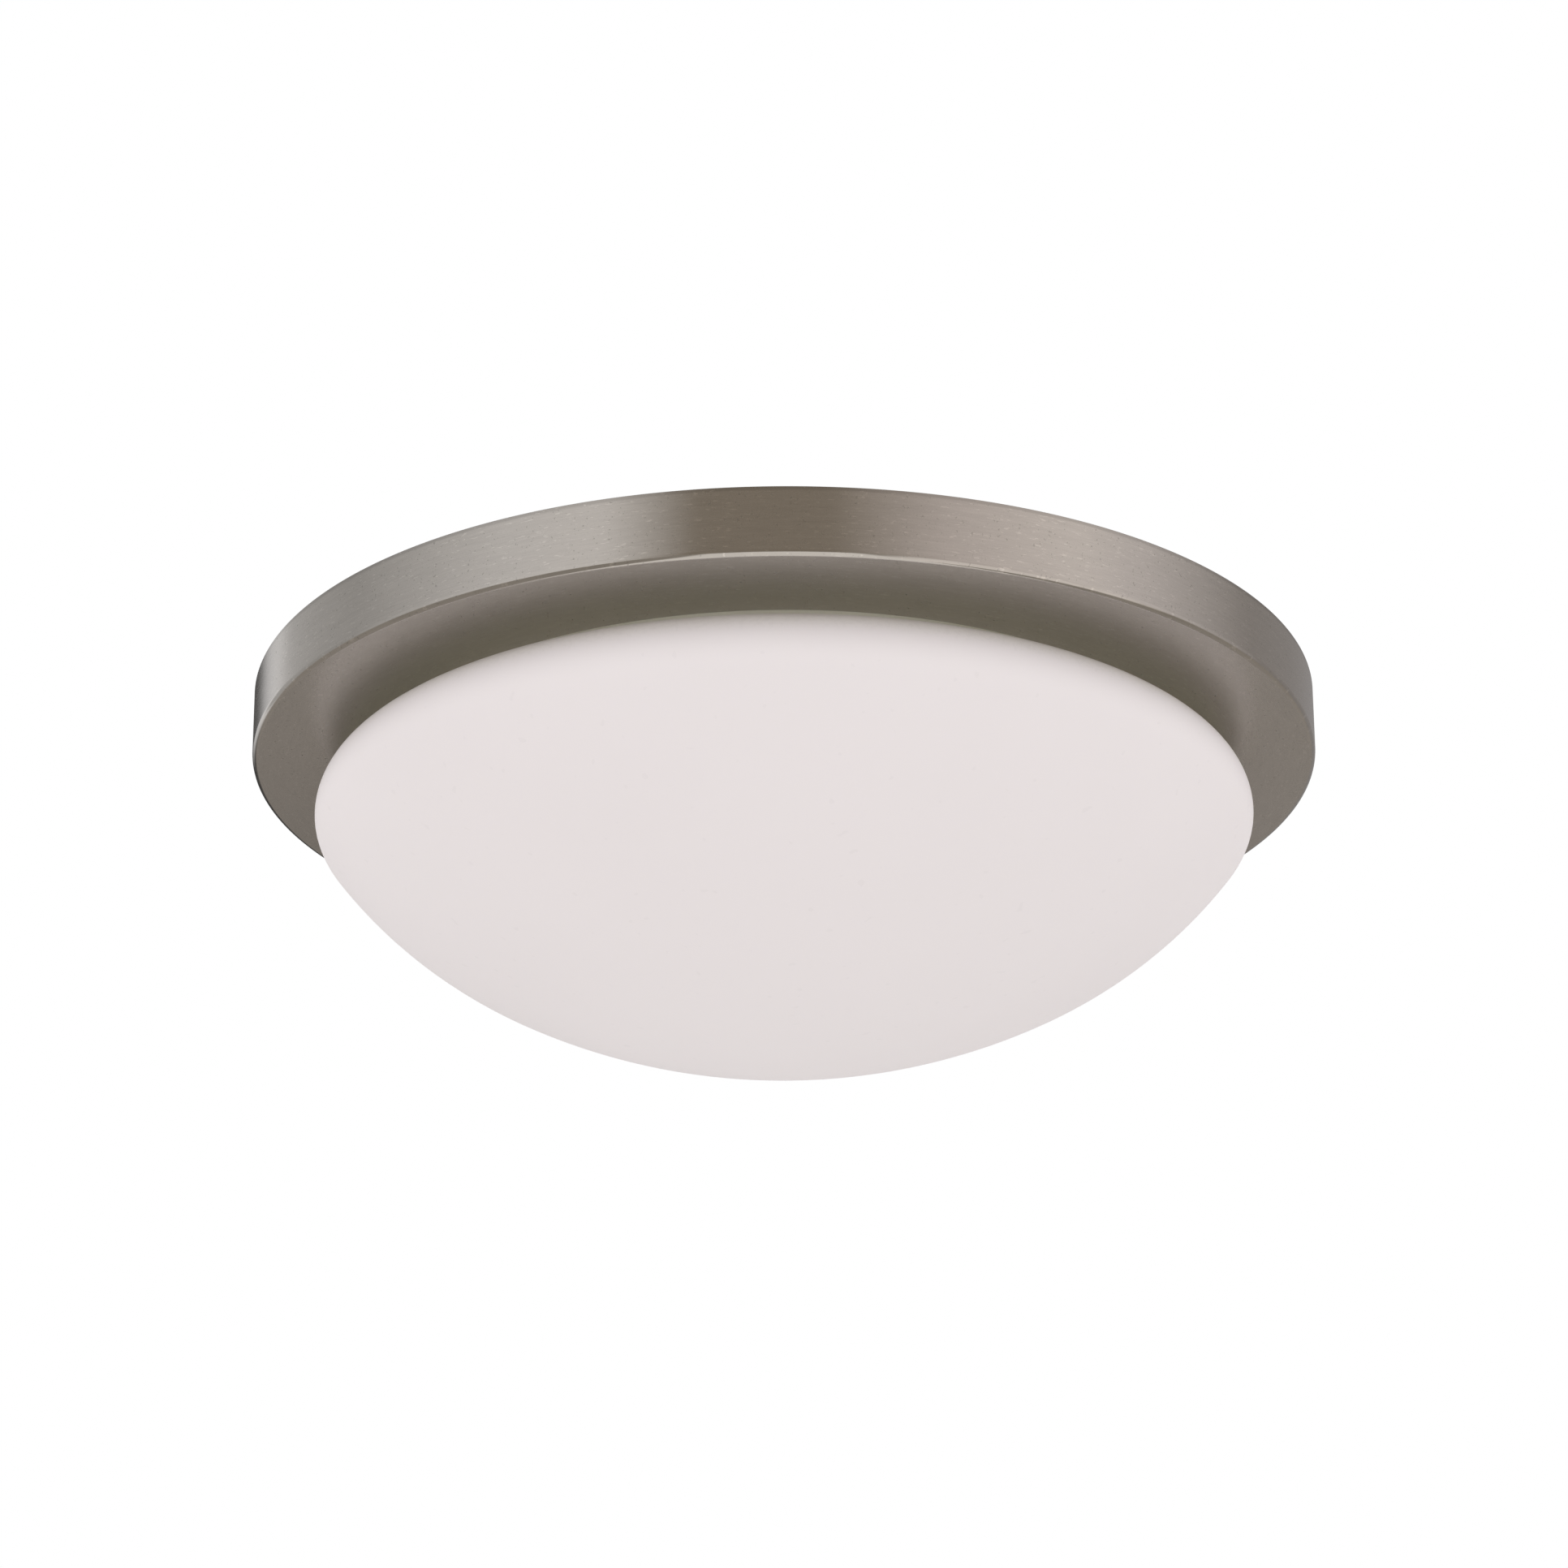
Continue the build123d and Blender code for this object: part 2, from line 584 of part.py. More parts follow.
for name, seat in lamps.items():
    along = seat_axis(seat)
    profile = side_plane(seat)

    with BuildPart() as lamp_holder:
        with BuildSketch(profile):
            with BuildLine():
                FilletPolyline((0, holder_floor), (socket_radius, holder_floor),
                               (socket_radius, holder_length), (holder_radius, holder_length),
                               (holder_radius, 0), (0, 0),
                               radius=[socket_corner, holder_rounding, holder_rounding,
                                       holder_rounding])
                Line((0, 0), (0, holder_floor))
            make_face()
        revolve(axis=along)
        with BuildSketch(seat):
            with Locations((-holder_screw_spread, 0), (holder_screw_spread, 0)):
                Circle(holder_screw_radius + fit)
        extrude(amount=holder_screw_depth + gap, mode=Mode.SUBTRACT)
        with BuildSketch(seat):
            with Locations((-lead_hole_spread, lead_hole_rise),
                           (lead_hole_spread, lead_hole_rise)):
                Circle(lead_radius + gap)
        extrude(amount=lead_hole_depth, mode=Mode.SUBTRACT)
    lamp_holder.part.label = f"lamp_holder_{name}"
    export_step(lamp_holder.part, f"parts/lamp_holder_{name}.step")

    with BuildPart() as screw_shell:
        with BuildSketch(profile):
            with BuildLine():
                for radius in (shell_radius, shell_radius + shell_sheet):
                    Line((radius, holder_floor), (radius, holder_floor + shell_slack))
                    add_thread_line(radius, holder_floor + shell_slack, shell_turns)
                    Line((radius, holder_floor + shell_height - shell_slack),
                         (radius, holder_floor + shell_height))
                for place in (holder_floor, holder_floor + shell_height):
                    Line((shell_radius, place), (shell_radius + shell_sheet, place))
            make_face()
            with Locations((shell_hole_radius, holder_floor)):
                Rectangle(shell_radius - shell_hole_radius, shell_sheet,
                          align=(Align.MIN, Align.MIN))
        revolve(axis=along)
    screw_shell.part.label = f"screw_shell_{name}"
    export_step(screw_shell.part, f"parts/screw_shell_{name}.step")

    strip_plane = Plane(origin=seat.origin, x_dir=seat.y_dir, z_dir=seat.x_dir)
    with BuildPart() as contact_strip:
        with BuildSketch(strip_plane):
            with BuildLine():
                crest = contact_place - gap
                strip = FilletPolyline(
                    (-contact_strip_half, holder_floor), (contact_strip_half, holder_floor),
                    (contact_strip_half - contact_strip_lean, holder_floor + contact_strip_knee),
                    (-contact_strip_crest, crest),
                    (-contact_strip_half + contact_strip_lean, crest - contact_strip_tip_drop),
                    radius=[contact_strip_bend, contact_strip_bend, contact_strip_bend])
                offset(strip, amount=contact_strip_sheet, side=Side.RIGHT, closed=True)
            make_face()
        extrude(amount=contact_strip_width / 2, both=True)
    contact_strip.part.label = f"contact_strip_{name}"
    export_step(contact_strip.part, f"parts/contact_strip_{name}.step")

    with BuildPart() as holder_screws:
        for spread in (-holder_screw_spread, holder_screw_spread):
            head = Plane(origin=seat.from_local_coords((spread, 0, -bracket_sheet)),
                         x_dir=seat.x_dir, z_dir=-seat.z_dir)
            add_round_screw(head, holder_screw_radius, bracket_sheet + holder_screw_depth,
                            holder_screw_head_radius, holder_screw_head_height)
    holder_screws.part.label = f"holder_screws_{name}"
    export_step(holder_screws.part, f"parts/holder_screws_{name}.step")

    bracket_plane = Plane(origin=seat.origin, x_dir=seat.z_dir, z_dir=-seat.x_dir)
    with BuildPart() as holder_bracket:
        with BuildSketch(bracket_plane):
            with BuildLine():
                fold = FilletPolyline((-bracket_foot, bracket_rise), (0, bracket_rise),
                                      (0, -bracket_drop), radius=[bracket_bend_radius])
                offset(fold, amount=bracket_sheet, side=Side.RIGHT, closed=True)
            make_face()
        extrude(amount=bracket_width / 2, both=True)
        with BuildSketch(seat):
            with Locations((-holder_screw_spread, 0), (holder_screw_spread, 0)):
                Circle(holder_screw_radius + fit)
            with Locations((0, lead_hole_rise)):
                SlotOverall(bracket_window_width, bracket_window_height)
        extrude(amount=-bracket_sheet, mode=Mode.SUBTRACT)
        with BuildSketch(Plane.XY.offset(-seat_depth)):
            with Locations(*rivet_points):
                Circle(rivet_radius + fit)
        extrude(amount=-bracket_sheet, mode=Mode.SUBTRACT)
    holder_bracket.part.label = f"holder_bracket_{name}"
    export_step(holder_bracket.part, f"parts/holder_bracket_{name}.step")

    with BuildPart() as bulb_glass:
        with BuildSketch(profile):
            with BuildLine():
                add_bulb_line(0)
                Line((0, contact_place + bulb_length),
                     (0, contact_place + bulb_length - bulb_wall))
                add_bulb_line(bulb_wall)
                tail = contact_place + bulb_neck_tail
                Line((bulb_neck_radius, tail), (bulb_neck_radius - bulb_wall, tail))
            make_face()
        revolve(axis=along)
    bulb_glass.part.label = f"bulb_glass_{name}"
    export_step(bulb_glass.part, f"parts/bulb_glass_{name}.step")

    thread_end = base_thread_start + base_thread_turns * thread_pitch
    with BuildPart() as bulb_base:
        with BuildSketch(profile):
            with BuildLine():
                start = contact_place + base_thread_start
                skirt = contact_place + base_skirt_start
                top = contact_place + base_height
                add_thread_line(base_thread_radius, start, base_thread_turns)
                Polyline((base_thread_radius, contact_place + thread_end),
                         (base_thread_radius, skirt), (base_skirt_radius, skirt + skirt_slope),
                         (base_skirt_radius, top), (bulb_neck_radius + fit, top),
                         (bulb_neck_radius + fit, contact_place + bulb_neck_tail - gap),
                         (base_bore_radius, contact_place + bulb_neck_tail - gap),
                         (base_bore_radius, start), (base_thread_radius, start))
            make_face()
        revolve(axis=along)
    bulb_base.part.label = f"bulb_base_{name}"
    export_step(bulb_base.part, f"parts/bulb_base_{name}.step")

    with BuildPart() as bulb_insulator:
        with BuildSketch(profile):
            with BuildLine():
                plug = base_bore_radius - fit
                foot = contact_place + contact_height
                Polyline((0, foot), (contact_radius, foot),
                         (plug, contact_place + base_thread_start),
                         (plug, contact_place + base_thread_start + insulator_plug),
                         (0, contact_place + base_thread_start + insulator_plug),
                         close=True)
            make_face()
        revolve(axis=along)
    bulb_insulator.part.label = f"bulb_insulator_{name}"
    export_step(bulb_insulator.part, f"parts/bulb_insulator_{name}.step")

    with BuildPart() as bulb_contact:
        with BuildSketch(profile):
            with BuildLine():
                foot = contact_place + contact_height
                Line((0, contact_place), (0, foot))
                Line((0, foot), (contact_radius, foot))
                add_cap_arc(contact_radius, foot, -contact_height)
            make_face()
        revolve(axis=along)
    bulb_contact.part.label = f"bulb_contact_{name}"
    export_step(bulb_contact.part, f"parts/bulb_contact_{name}.step")

with BuildPart() as bracket_rivets:
    for x, y in rivet_points:
        add_rivet(facing_down(x, y, seat_depth + bracket_sheet),
                  bracket_sheet + reflector_sheet + pan_sheet)
bracket_rivets.part.label = "bracket_rivets"
export_step(bracket_rivets.part, "parts/bracket_rivets.step")

# ---------------------------------------------------------------- terminal block

block_seat = facing_down(block_x, block_y, seat_depth)
pole_places = [(block_x, block_y + spread) for spread in (-pole_spread, pole_spread)]
way_depth = seat_depth + pole_depth
barrel_room_width = barrel_width + 2 * barrel_clearance
barrel_room_height = barrel_height + 2 * barrel_clearance
clamp_points = [
    (x + spread, y) for x, y in pole_places for spread in (-clamp_screw_spread, clamp_screw_spread)
]

with BuildPart() as terminal_block:
    with BuildSketch(block_seat):
        RectangleRounded(block_length_x, block_width_y, block_corner)
    extrude(amount=block_height)
    chamfer(terminal_block.edges().group_by(Axis.Z)[0], block_edge)
    for x, y in pole_places:
        with BuildSketch(Plane(origin=(x, y, -way_depth), x_dir=(0, 1, 0), z_dir=(1, 0, 0))):
            RectangleRounded(barrel_room_width, barrel_room_height,
                             barrel_corner + barrel_clearance)
        extrude(amount=block_length_x, both=True, mode=Mode.SUBTRACT)
    with BuildSketch(Plane.XY.offset(-seat_depth - block_height)):
        with Locations(*clamp_points):
            Circle(clamp_screw_radius + fit)
    extrude(amount=block_height - pole_depth, mode=Mode.SUBTRACT)
    with BuildSketch(Plane.XY.offset(-seat_depth - block_height)):
        with Locations((block_x, block_y)):
            Circle(block_screw_head_radius + gap)
    extrude(amount=block_screw_head_height + block_screw_sunk, mode=Mode.SUBTRACT)
    with BuildSketch(Plane.XY.offset(-seat_depth - block_height)):
        with Locations((block_x, block_y)):
            Circle(block_screw_radius + fit)
    extrude(amount=block_height, mode=Mode.SUBTRACT)
terminal_block.part.label = "terminal_block"
export_step(terminal_block.part, "parts/terminal_block.step")

with BuildPart() as terminal_barrels:
    for x, y in pole_places:
        with BuildSketch(Plane(origin=(x, y, -way_depth), x_dir=(0, 1, 0), z_dir=(1, 0, 0))):
            RectangleRounded(barrel_width, barrel_height, barrel_corner)
            RectangleRounded(barrel_width - 2 * barrel_wall, barrel_height - 2 * barrel_wall,
                             barrel_corner - barrel_wall, mode=Mode.SUBTRACT)
        extrude(amount=barrel_length / 2, both=True)
    with BuildSketch(Plane.XY.offset(-way_depth - barrel_height)):
        with Locations(*clamp_points):
            Circle(clamp_screw_radius + fit)
    extrude(amount=barrel_height, mode=Mode.SUBTRACT)
terminal_barrels.part.label = "terminal_barrels"
export_step(terminal_barrels.part, "parts/terminal_barrels.step")

clamp_head_depth = seat_depth + block_height - clamp_screw_sunk
clamp_length = clamp_head_depth - way_depth - lead_radius - gap
with BuildPart() as terminal_screws:
    with BuildSketch(Plane.XY.offset(-clamp_head_depth)):
        with Locations(*clamp_points):
            Circle(clamp_screw_radius)
    extrude(amount=clamp_length)
    with BuildSketch(Plane.XY.offset(-clamp_head_depth)):
        with Locations(*clamp_points):
            Rectangle(clamp_slot_length, clamp_slot_width)
    extrude(amount=clamp_slot_depth, mode=Mode.SUBTRACT)
terminal_screws.part.label = "terminal_screws"
export_step(terminal_screws.part, "parts/terminal_screws.step")

block_head_depth = seat_depth + block_height - block_screw_head_height - block_screw_sunk
with BuildPart() as block_screw:
    add_round_screw(facing_down(block_x, block_y, block_head_depth), block_screw_radius,
                    block_head_depth - plate_top_depth, block_screw_head_radius,
                    block_screw_head_height)
block_screw.part.label = "block_screw"
export_step(block_screw.part, "parts/block_screw.step")

# ---------------------------------------------------------------- leads


def bend_radii(points):
    """Largest arc at each corner that leaves a tenth of the shorter run straight."""
    corners = [Vector(*point) for point in points]
    radii = []
    for before, corner, after in zip(corners, corners[1:], corners[2:]):
        run_in, run_out = corner - before, after - corner
        half_turn = math.radians(run_in.get_angle(run_out)) / 2
        shorter = min(run_in.length, run_out.length)
        radii.append(bend_share * shorter / math.tan(half_turn))
    return radii


barrel_end = block_x + barrel_length / 2 - lead_in_barrel
pair_offset = lead_radius + gap / 2
hole_depth_z = -lamp_depth + lead_hole_rise
lead_start = lamp_shift - lead_hole_depth + gap
line_pole = block_y - pole_spread
neutral_pole = block_y + pole_spread

lead_routes = {
    "line_lead_a": [
        (-lead_start, lamp_offset - lead_hole_spread, hole_depth_z),
        (-47, lamp_offset - lead_hole_spread, hole_depth_z),
        (-47, line_pole + pair_offset, -way_depth),
        (barrel_end, line_pole + pair_offset, -way_depth),
    ],
    "neutral_lead_a": [
        (-lead_start, lamp_offset + lead_hole_spread, hole_depth_z),
        (-47, lamp_offset + lead_hole_spread, hole_depth_z),
        (-47, neutral_pole + pair_offset, -way_depth),
        (barrel_end, neutral_pole + pair_offset, -way_depth),
    ],
    "line_lead_b": [
        (lead_start, -lamp_offset + lead_hole_spread, hole_depth_z),
        (46, -lamp_offset + lead_hole_spread, hole_depth_z),
        (47, -19, -15),
        (25, -4, -12.5),
        (-4, 3, -12.5),
        (-30, 11, -13),
        (-49, line_pole - pair_offset, -way_depth),
        (barrel_end, line_pole - pair_offset, -way_depth),
    ],
    "neutral_lead_b": [
        (lead_start, -lamp_offset - lead_hole_spread, hole_depth_z),
        (46, -lamp_offset - lead_hole_spread, hole_depth_z),
        (49, -25, -15),
        (28, -8, -16.5),
        (-4, 0, -16.5),
        (-31, 14, -17.5),
        (-48, neutral_pole - pair_offset - 2, -way_depth - 0.5),
        (barrel_end, neutral_pole - pair_offset, -way_depth),
    ],
}

for name, points in lead_routes.items():
    radii = bend_radii(points)
    print(name, "bend radii", [round(radius, 1) for radius in radii])
    with BuildPart() as lead:
        with BuildLine() as route:
            FilletPolyline(*points, radius=radii)
        with BuildSketch(Plane(origin=route.wire() @ 0, z_dir=route.wire() % 0)):
            Circle(lead_radius)
        sweep(path=route.wire())
    length = route.wire().length
    print(name, "length", round(length, 1), "volume over section times length",
          round(lead.part.volume / (math.pi * lead_radius ** 2 * length), 4))
    lead.part.label = name
    export_step(lead.part, f"parts/{name}.step")
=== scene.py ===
"""Looks of a round flush mount ceiling light: brushed nickel pan, opal glass bowl, and the lamps,
holders and wiring behind the glass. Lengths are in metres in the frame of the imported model: the
origin lies where the pan meets the ceiling and +Z points up into the ceiling."""

import json
import math

import bpy
import numpy as np
from bpy.props import FloatProperty, FloatVectorProperty, IntProperty, PointerProperty
from mathutils import Matrix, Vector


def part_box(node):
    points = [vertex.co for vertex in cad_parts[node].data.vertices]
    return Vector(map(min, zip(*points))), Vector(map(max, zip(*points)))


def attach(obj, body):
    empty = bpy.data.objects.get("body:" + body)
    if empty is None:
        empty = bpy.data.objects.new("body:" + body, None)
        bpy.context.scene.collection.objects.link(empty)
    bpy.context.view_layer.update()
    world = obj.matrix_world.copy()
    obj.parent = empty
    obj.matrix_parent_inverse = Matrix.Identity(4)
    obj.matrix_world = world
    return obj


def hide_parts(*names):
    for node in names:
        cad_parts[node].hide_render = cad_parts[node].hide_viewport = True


bl_info = {
    "name": "Flush Mount Ceiling Light",
    "version": (1, 0, 0),
    "blender": (4, 5, 0),
    "location": "View3D > Sidebar > Ceiling Light",
    "description": "Dresses a flush mount ceiling light with its surfaces, finishes and stage",
    "category": "Object",
}

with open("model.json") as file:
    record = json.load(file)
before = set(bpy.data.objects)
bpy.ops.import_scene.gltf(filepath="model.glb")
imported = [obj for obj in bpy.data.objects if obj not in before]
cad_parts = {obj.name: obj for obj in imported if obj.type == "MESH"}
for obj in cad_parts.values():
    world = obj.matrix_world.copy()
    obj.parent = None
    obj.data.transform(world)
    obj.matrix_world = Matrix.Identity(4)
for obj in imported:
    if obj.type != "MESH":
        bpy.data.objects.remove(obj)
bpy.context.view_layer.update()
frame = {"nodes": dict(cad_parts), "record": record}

MM = 0.001
pan_low, pan_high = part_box("pan")
glass_low, glass_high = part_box("glass_bowl")
pad_low, pad_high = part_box("insulation_pad")
cushion_low, cushion_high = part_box("cushion_ring")


# ---- sizes and finishes


def length(name, description, default):
    """A length in metres that a user can change."""
    return FloatProperty(name=name, description=description, default=default, min=0.0,
                         precision=5, subtype="DISTANCE", unit="LENGTH")


def colour(name, description, default):
    """A colour that a user can change, in linear values."""
    return FloatVectorProperty(name=name, description=description, default=default, size=3,
                               min=0.0, max=1.0, subtype="COLOR")


def turn(name, description, degrees):
    """An angle that a user can change, stored in radians."""
    return FloatProperty(name=name, description=description, default=math.radians(degrees),
                         subtype="ANGLE", unit="ROTATION")


class PanSizes(bpy.types.PropertyGroup):
    radius: length("Radius", "Outside of the pan's wall", pan_high.x)
    depth: length("Depth", "Ceiling to the flat lower face", -pan_low.z)
    sheet: length("Sheet", "Thickness of the pressed sheet", 0.8 * MM)
    raw_edge: length("Raw edge", "Rounding of the sheet's cut edges", 0.12 * MM)
    edge_radius: length("Edge radius", "Outside of the bend between wall and face", 1.6 * MM)
    mouth_radius: length("Mouth radius", "Opening in the face", 127.5 * MM)
    mouth_bend: length("Mouth bend", "Bend where the face turns up into the recess", 1.6 * MM)
    plate_depth: length("Plate depth", "Ceiling to the underside of the back plate", 8.0 * MM)
    bushing_hole: length("Bushing hole", "Radius of the hole for the wires' bushing", 8.0 * MM)
    screw_spacing: length("Pan screws", "Between the two pan screws", 114.3 * MM)
    keyhole_slot: length("Keyhole slot", "Radius of the keyhole's narrow end", 2.3 * MM)
    keyhole_entry: length("Keyhole entry", "Radius of the keyhole's wide end", 4.8 * MM)
    keyhole_travel: length("Keyhole travel", "Between the ends of a keyhole", 9.0 * MM)


class BowlSizes(bpy.types.PropertyGroup):
    radius: length("Radius", "Widest point of the glass", glass_high.x)
    bottom: length("Bottom", "Ceiling to the lowest point", -glass_low.z)
    rim: length("Rim", "Ceiling to the rim of the glass", -glass_high.z)
    wall: length("Wall", "Thickness of the glass", 4.0 * MM)
    neck_radius: length("Neck radius", "Outside of the neck", 122.5 * MM)
    shoulder_depth: length("Shoulder depth", "Ceiling to the top of the shoulder", 27.1 * MM)
    shoulder_radius: length("Shoulder radius", "Rounding of the shoulder", 12.1 * MM)
    shoulder_end: turn("Shoulder end", "Where the shoulder meets the side, below level", 37.0)
    side_end: turn("Side end", "Where the side meets the crown, below level", 60.6)
    neck_fillet: length("Neck fillet", "Corner between neck and shoulder", 4.0 * MM)
    bead_out: length("Bead", "How far the bead stands out from the neck", 2.4 * MM)
    bead_height: length("Bead height", "Height of the bead at the rim", 3.0 * MM)
    bead_rounding: length("Bead rounding", "Rounding of the bead's corners", 1.0 * MM)
    inside_rounding: length("Inside rounding", "Corner where the neck opens inside", 3.0 * MM)


class RingSizes(bpy.types.PropertyGroup):
    pad_bore: length("Pad bore", "Inner radius of the glass wool ring", 68.0 * MM)
    pad_wave: length("Pad wave", "How far the wool's edges wander", 0.9 * MM)
    pad_dip: length("Pad dip", "How deep the hollows of the wool's top are", 0.35 * MM)
    cushion_bore: length("Cushion bore", "Inner radius of the silicone ring", 118.5 * MM)
    cushion_rounding: length("Cushion rounding", "Corners of the silicone ring", 0.6 * MM)


class LampSizes(bpy.types.PropertyGroup):
    offset: length("Offset", "Lamp axis from the middle of the light", 34.0 * MM)
    depth: length("Depth", "Ceiling to the lamp's axis", 46.0 * MM)
    shift: length("Shift", "Holder's rear face, back from the middle", 28.0 * MM)
    contact_place: length("Contact", "Holder's rear face to the bulb's contact", 12.0 * MM)
    bulb_radius: length("Bulb radius", "Widest radius of the bulb", 30.15 * MM)
    bulb_length: length("Bulb length", "Contact to crown", 107.0 * MM)
    bulb_wall: length("Bulb wall", "Thickness of the bulb's glass", 0.8 * MM)
    bulb_neck: length("Bulb neck", "Radius of the bulb's neck", 12.9 * MM)
    flare_start: length("Flare start", "Contact to the start of the flare", 26.0 * MM)
    glass_tail: length("Glass tail", "Contact to the lower end of the glass", 21.4 * MM)
    pitch: length("Thread pitch", "Pitch of the medium screw thread", 25.4 * MM / 7)
    swing: length("Thread swing", "Half of the thread's height", 0.35 * MM)
    thread_radius: length("Thread radius", "Middle radius of the base's thread", 12.68 * MM)
    skirt_radius: length("Skirt radius", "Radius of the base's upper end", 13.3 * MM)
    base_bore: length("Base bore", "Inside of the base", 11.9 * MM)
    base_start: length("Base start", "Contact to the start of the base", 4.0 * MM)
    skirt_start: length("Skirt start", "Contact to the end of the thread", 20.5 * MM)
    base_height: length("Base height", "Contact to the base's upper end", 25.6 * MM)
    shell_sheet: length("Shell sheet", "Thickness of the holder's shell", 0.35 * MM)
    shell_height: length("Shell height", "Height of the holder's shell", 24.0 * MM)
    shell_floor: length("Shell floor", "Holder's rear face to the socket's floor", 8.0 * MM)
    shell_hole: length("Shell hole", "Hole in the bottom of the shell", 7.5 * MM)
    gap: length("Gap", "Between the base's thread and the shell", 0.3 * MM)
    glue_room: length("Glue room", "Between the bulb's neck and its base", 0.05 * MM)
    thread_lead: length("Thread lead", "Plain wall at each end of the shell", 0.5 * MM)


class Finishes(bpy.types.PropertyGroup):
    """Base colours, each named like the record's slot"""

    brushed_nickel: colour("Nickel", "Brushed nickel plate", (0.40, 0.373, 0.342))
    opal_glass: colour("Opal glass", "Acid-etched white glass", (0.845, 0.785, 0.785))
    frosted_glass: colour("Frosted bulb", "Bulb glass, white inside", (0.86, 0.86, 0.84))
    porcelain: colour("Porcelain", "Glazed porcelain", (0.82, 0.80, 0.74))
    zinc_plate: colour("Zinc", "Zinc plated steel", (0.55, 0.57, 0.59))
    spring_steel: colour("Spring steel", "Hardened strip", (0.34, 0.35, 0.38))
    brass: colour("Brass", "Plain brass", (0.72, 0.50, 0.22))
    aluminium_shell: colour("Aluminium", "Rolled aluminium", (0.78, 0.78, 0.77))
    bright_aluminium: colour("Reflector", "Bright rolled aluminium sheet", (0.86, 0.87, 0.88))
    green_screw: colour("Ground screw", "Green passivated steel", (0.06, 0.30, 0.12))
    glass_wool: colour("Glass wool", "Yellow glass wool", (0.80, 0.66, 0.28))
    silicone: colour("Silicone", "Translucent white silicone", (0.78, 0.78, 0.76))
    black_plastic: colour("Bushing", "Black nylon", (0.012, 0.012, 0.013))
    block_plastic: colour("Terminal block", "Natural polyamide", (0.74, 0.71, 0.62))
    black_lead: colour("Black lead", "Insulation of the line leads", (0.010, 0.010, 0.011))
    white_lead: colour("White lead", "Insulation of the neutral leads", (0.80, 0.80, 0.77))
    black_glass: colour("Insulator", "Black glass in the bulb's base", (0.012, 0.010, 0.016))
    solder: colour("Solder", "Bulb's contact", (0.55, 0.55, 0.54))


class StageSettings(bpy.types.PropertyGroup):
    distance: length("Distance", "Camera from the middle of the ceiling ring", 1.68)
    below: turn("Below", "How far the camera stands below the ceiling ring", 23.0103)
    look_up: turn("Look up", "Camera's pitch above level", 22.2375)
    roll: turn("Roll", "Camera's roll", -0.2246)
    lens: FloatProperty(name="Lens", description="Focal length in millimetres",
                        default=120.93, min=1.0)
    floor_depth: length("Floor", "Ceiling to the floor", 2.4)
    daylight: FloatProperty(name="Daylight", description="Strength of the even light",
                            default=0.95, min=0.0)
    segments: IntProperty(name="Segments", description="Steps round the large pieces",
                          default=384, min=64)


SETTINGS = {
    "pan_sizes": PanSizes,
    "bowl_sizes": BowlSizes,
    "ring_sizes": RingSizes,
    "lamp_sizes": LampSizes,
    "light_finishes": Finishes,
    "stage_settings": StageSettings,
}


# ---- surfaces


def rounded_line(corners, radii, steps=8):
    """Outline through corner points (reach, height), each corner rounded by its radius.

    A corner P with unit ways u back and v on, half angle h between them, has its arc's centre at
    P + (u + v) / |u + v| * radius / sin(h), and touches both ways at radius / tan(h) from P. Two
    more points stand just outside each arc, so that smooth shading stays within the bend."""
    corners = [np.array(corner, float) for corner in corners]
    line = [corners[0]]
    for before, corner, after, radius in zip(corners, corners[1:], corners[2:], radii):
        back = (before - corner) / np.linalg.norm(before - corner)
        onward = (after - corner) / np.linalg.norm(after - corner)
        half = math.acos(np.clip(back @ onward, -1, 1)) / 2
        touch = radius / math.tan(half)
        centre = corner + (back + onward) / np.linalg.norm(back + onward) * radius / math.sin(half)
        first = corner + back * touch
        last = corner + onward * touch
        start = math.atan2(*(first - centre)[::-1])
        sweep = math.atan2(*(last - centre)[::-1]) - start
        sweep = (sweep + math.pi) % (2 * math.pi) - math.pi
        angles = start + sweep * np.linspace(0, 1, steps + 1)
        arc = centre + radius * np.stack([np.cos(angles), np.sin(angles)], 1)
        line += [first + back * radius * 0.06, *arc, last + onward * radius * 0.06]
    return np.array([*line, corners[-1]])


def arc_line(centre, radius, start, end, steps):
    """Points centre + radius (cos a, sin a), with a in even steps from start to end."""
    angles = np.linspace(start, end, steps + 1)
    return np.array(centre) + radius * np.stack([np.cos(angles), np.sin(angles)], 1)


def place_on(origin, out, across, along):
    """Frame of a turned piece: the middle and three unit ways, the last along its axis."""
    return np.array([out, across, along], float), np.array(origin, float)


CEILING = place_on((0, 0, 0), (1, 0, 0), (0, 1, 0), (0, 0, 1))


def add_object(name, points, faces):
    """Mesh object from an array of points and lists of faces, shaded smooth, faces outwards.

    The enclosed volume is a sixth of the sum of a . (b x c) over all triangles. Where it comes
    out negative, the faces point inwards, and all of them are turned round."""
    triangles = np.concatenate([np.stack([f[:, 0], f[:, k], f[:, k + 1]], 1)
                                for f in faces for k in range(1, f.shape[1] - 1)])
    a, b, c = (points[triangles[:, k]] for k in range(3))
    if np.einsum("ij,ij->i", a, np.cross(b, c)).sum() < 0:
        faces = [f[:, ::-1] for f in faces]
    mesh = bpy.data.meshes.new(name)
    mesh.from_pydata(points.tolist(), [], [face for f in faces for face in f.tolist()])
    mesh.polygons.foreach_set("use_smooth", np.ones(len(mesh.polygons), bool))
    mesh.update()
    piece = bpy.data.objects.new(name, mesh)
    bpy.context.scene.collection.objects.link(piece)
    return piece


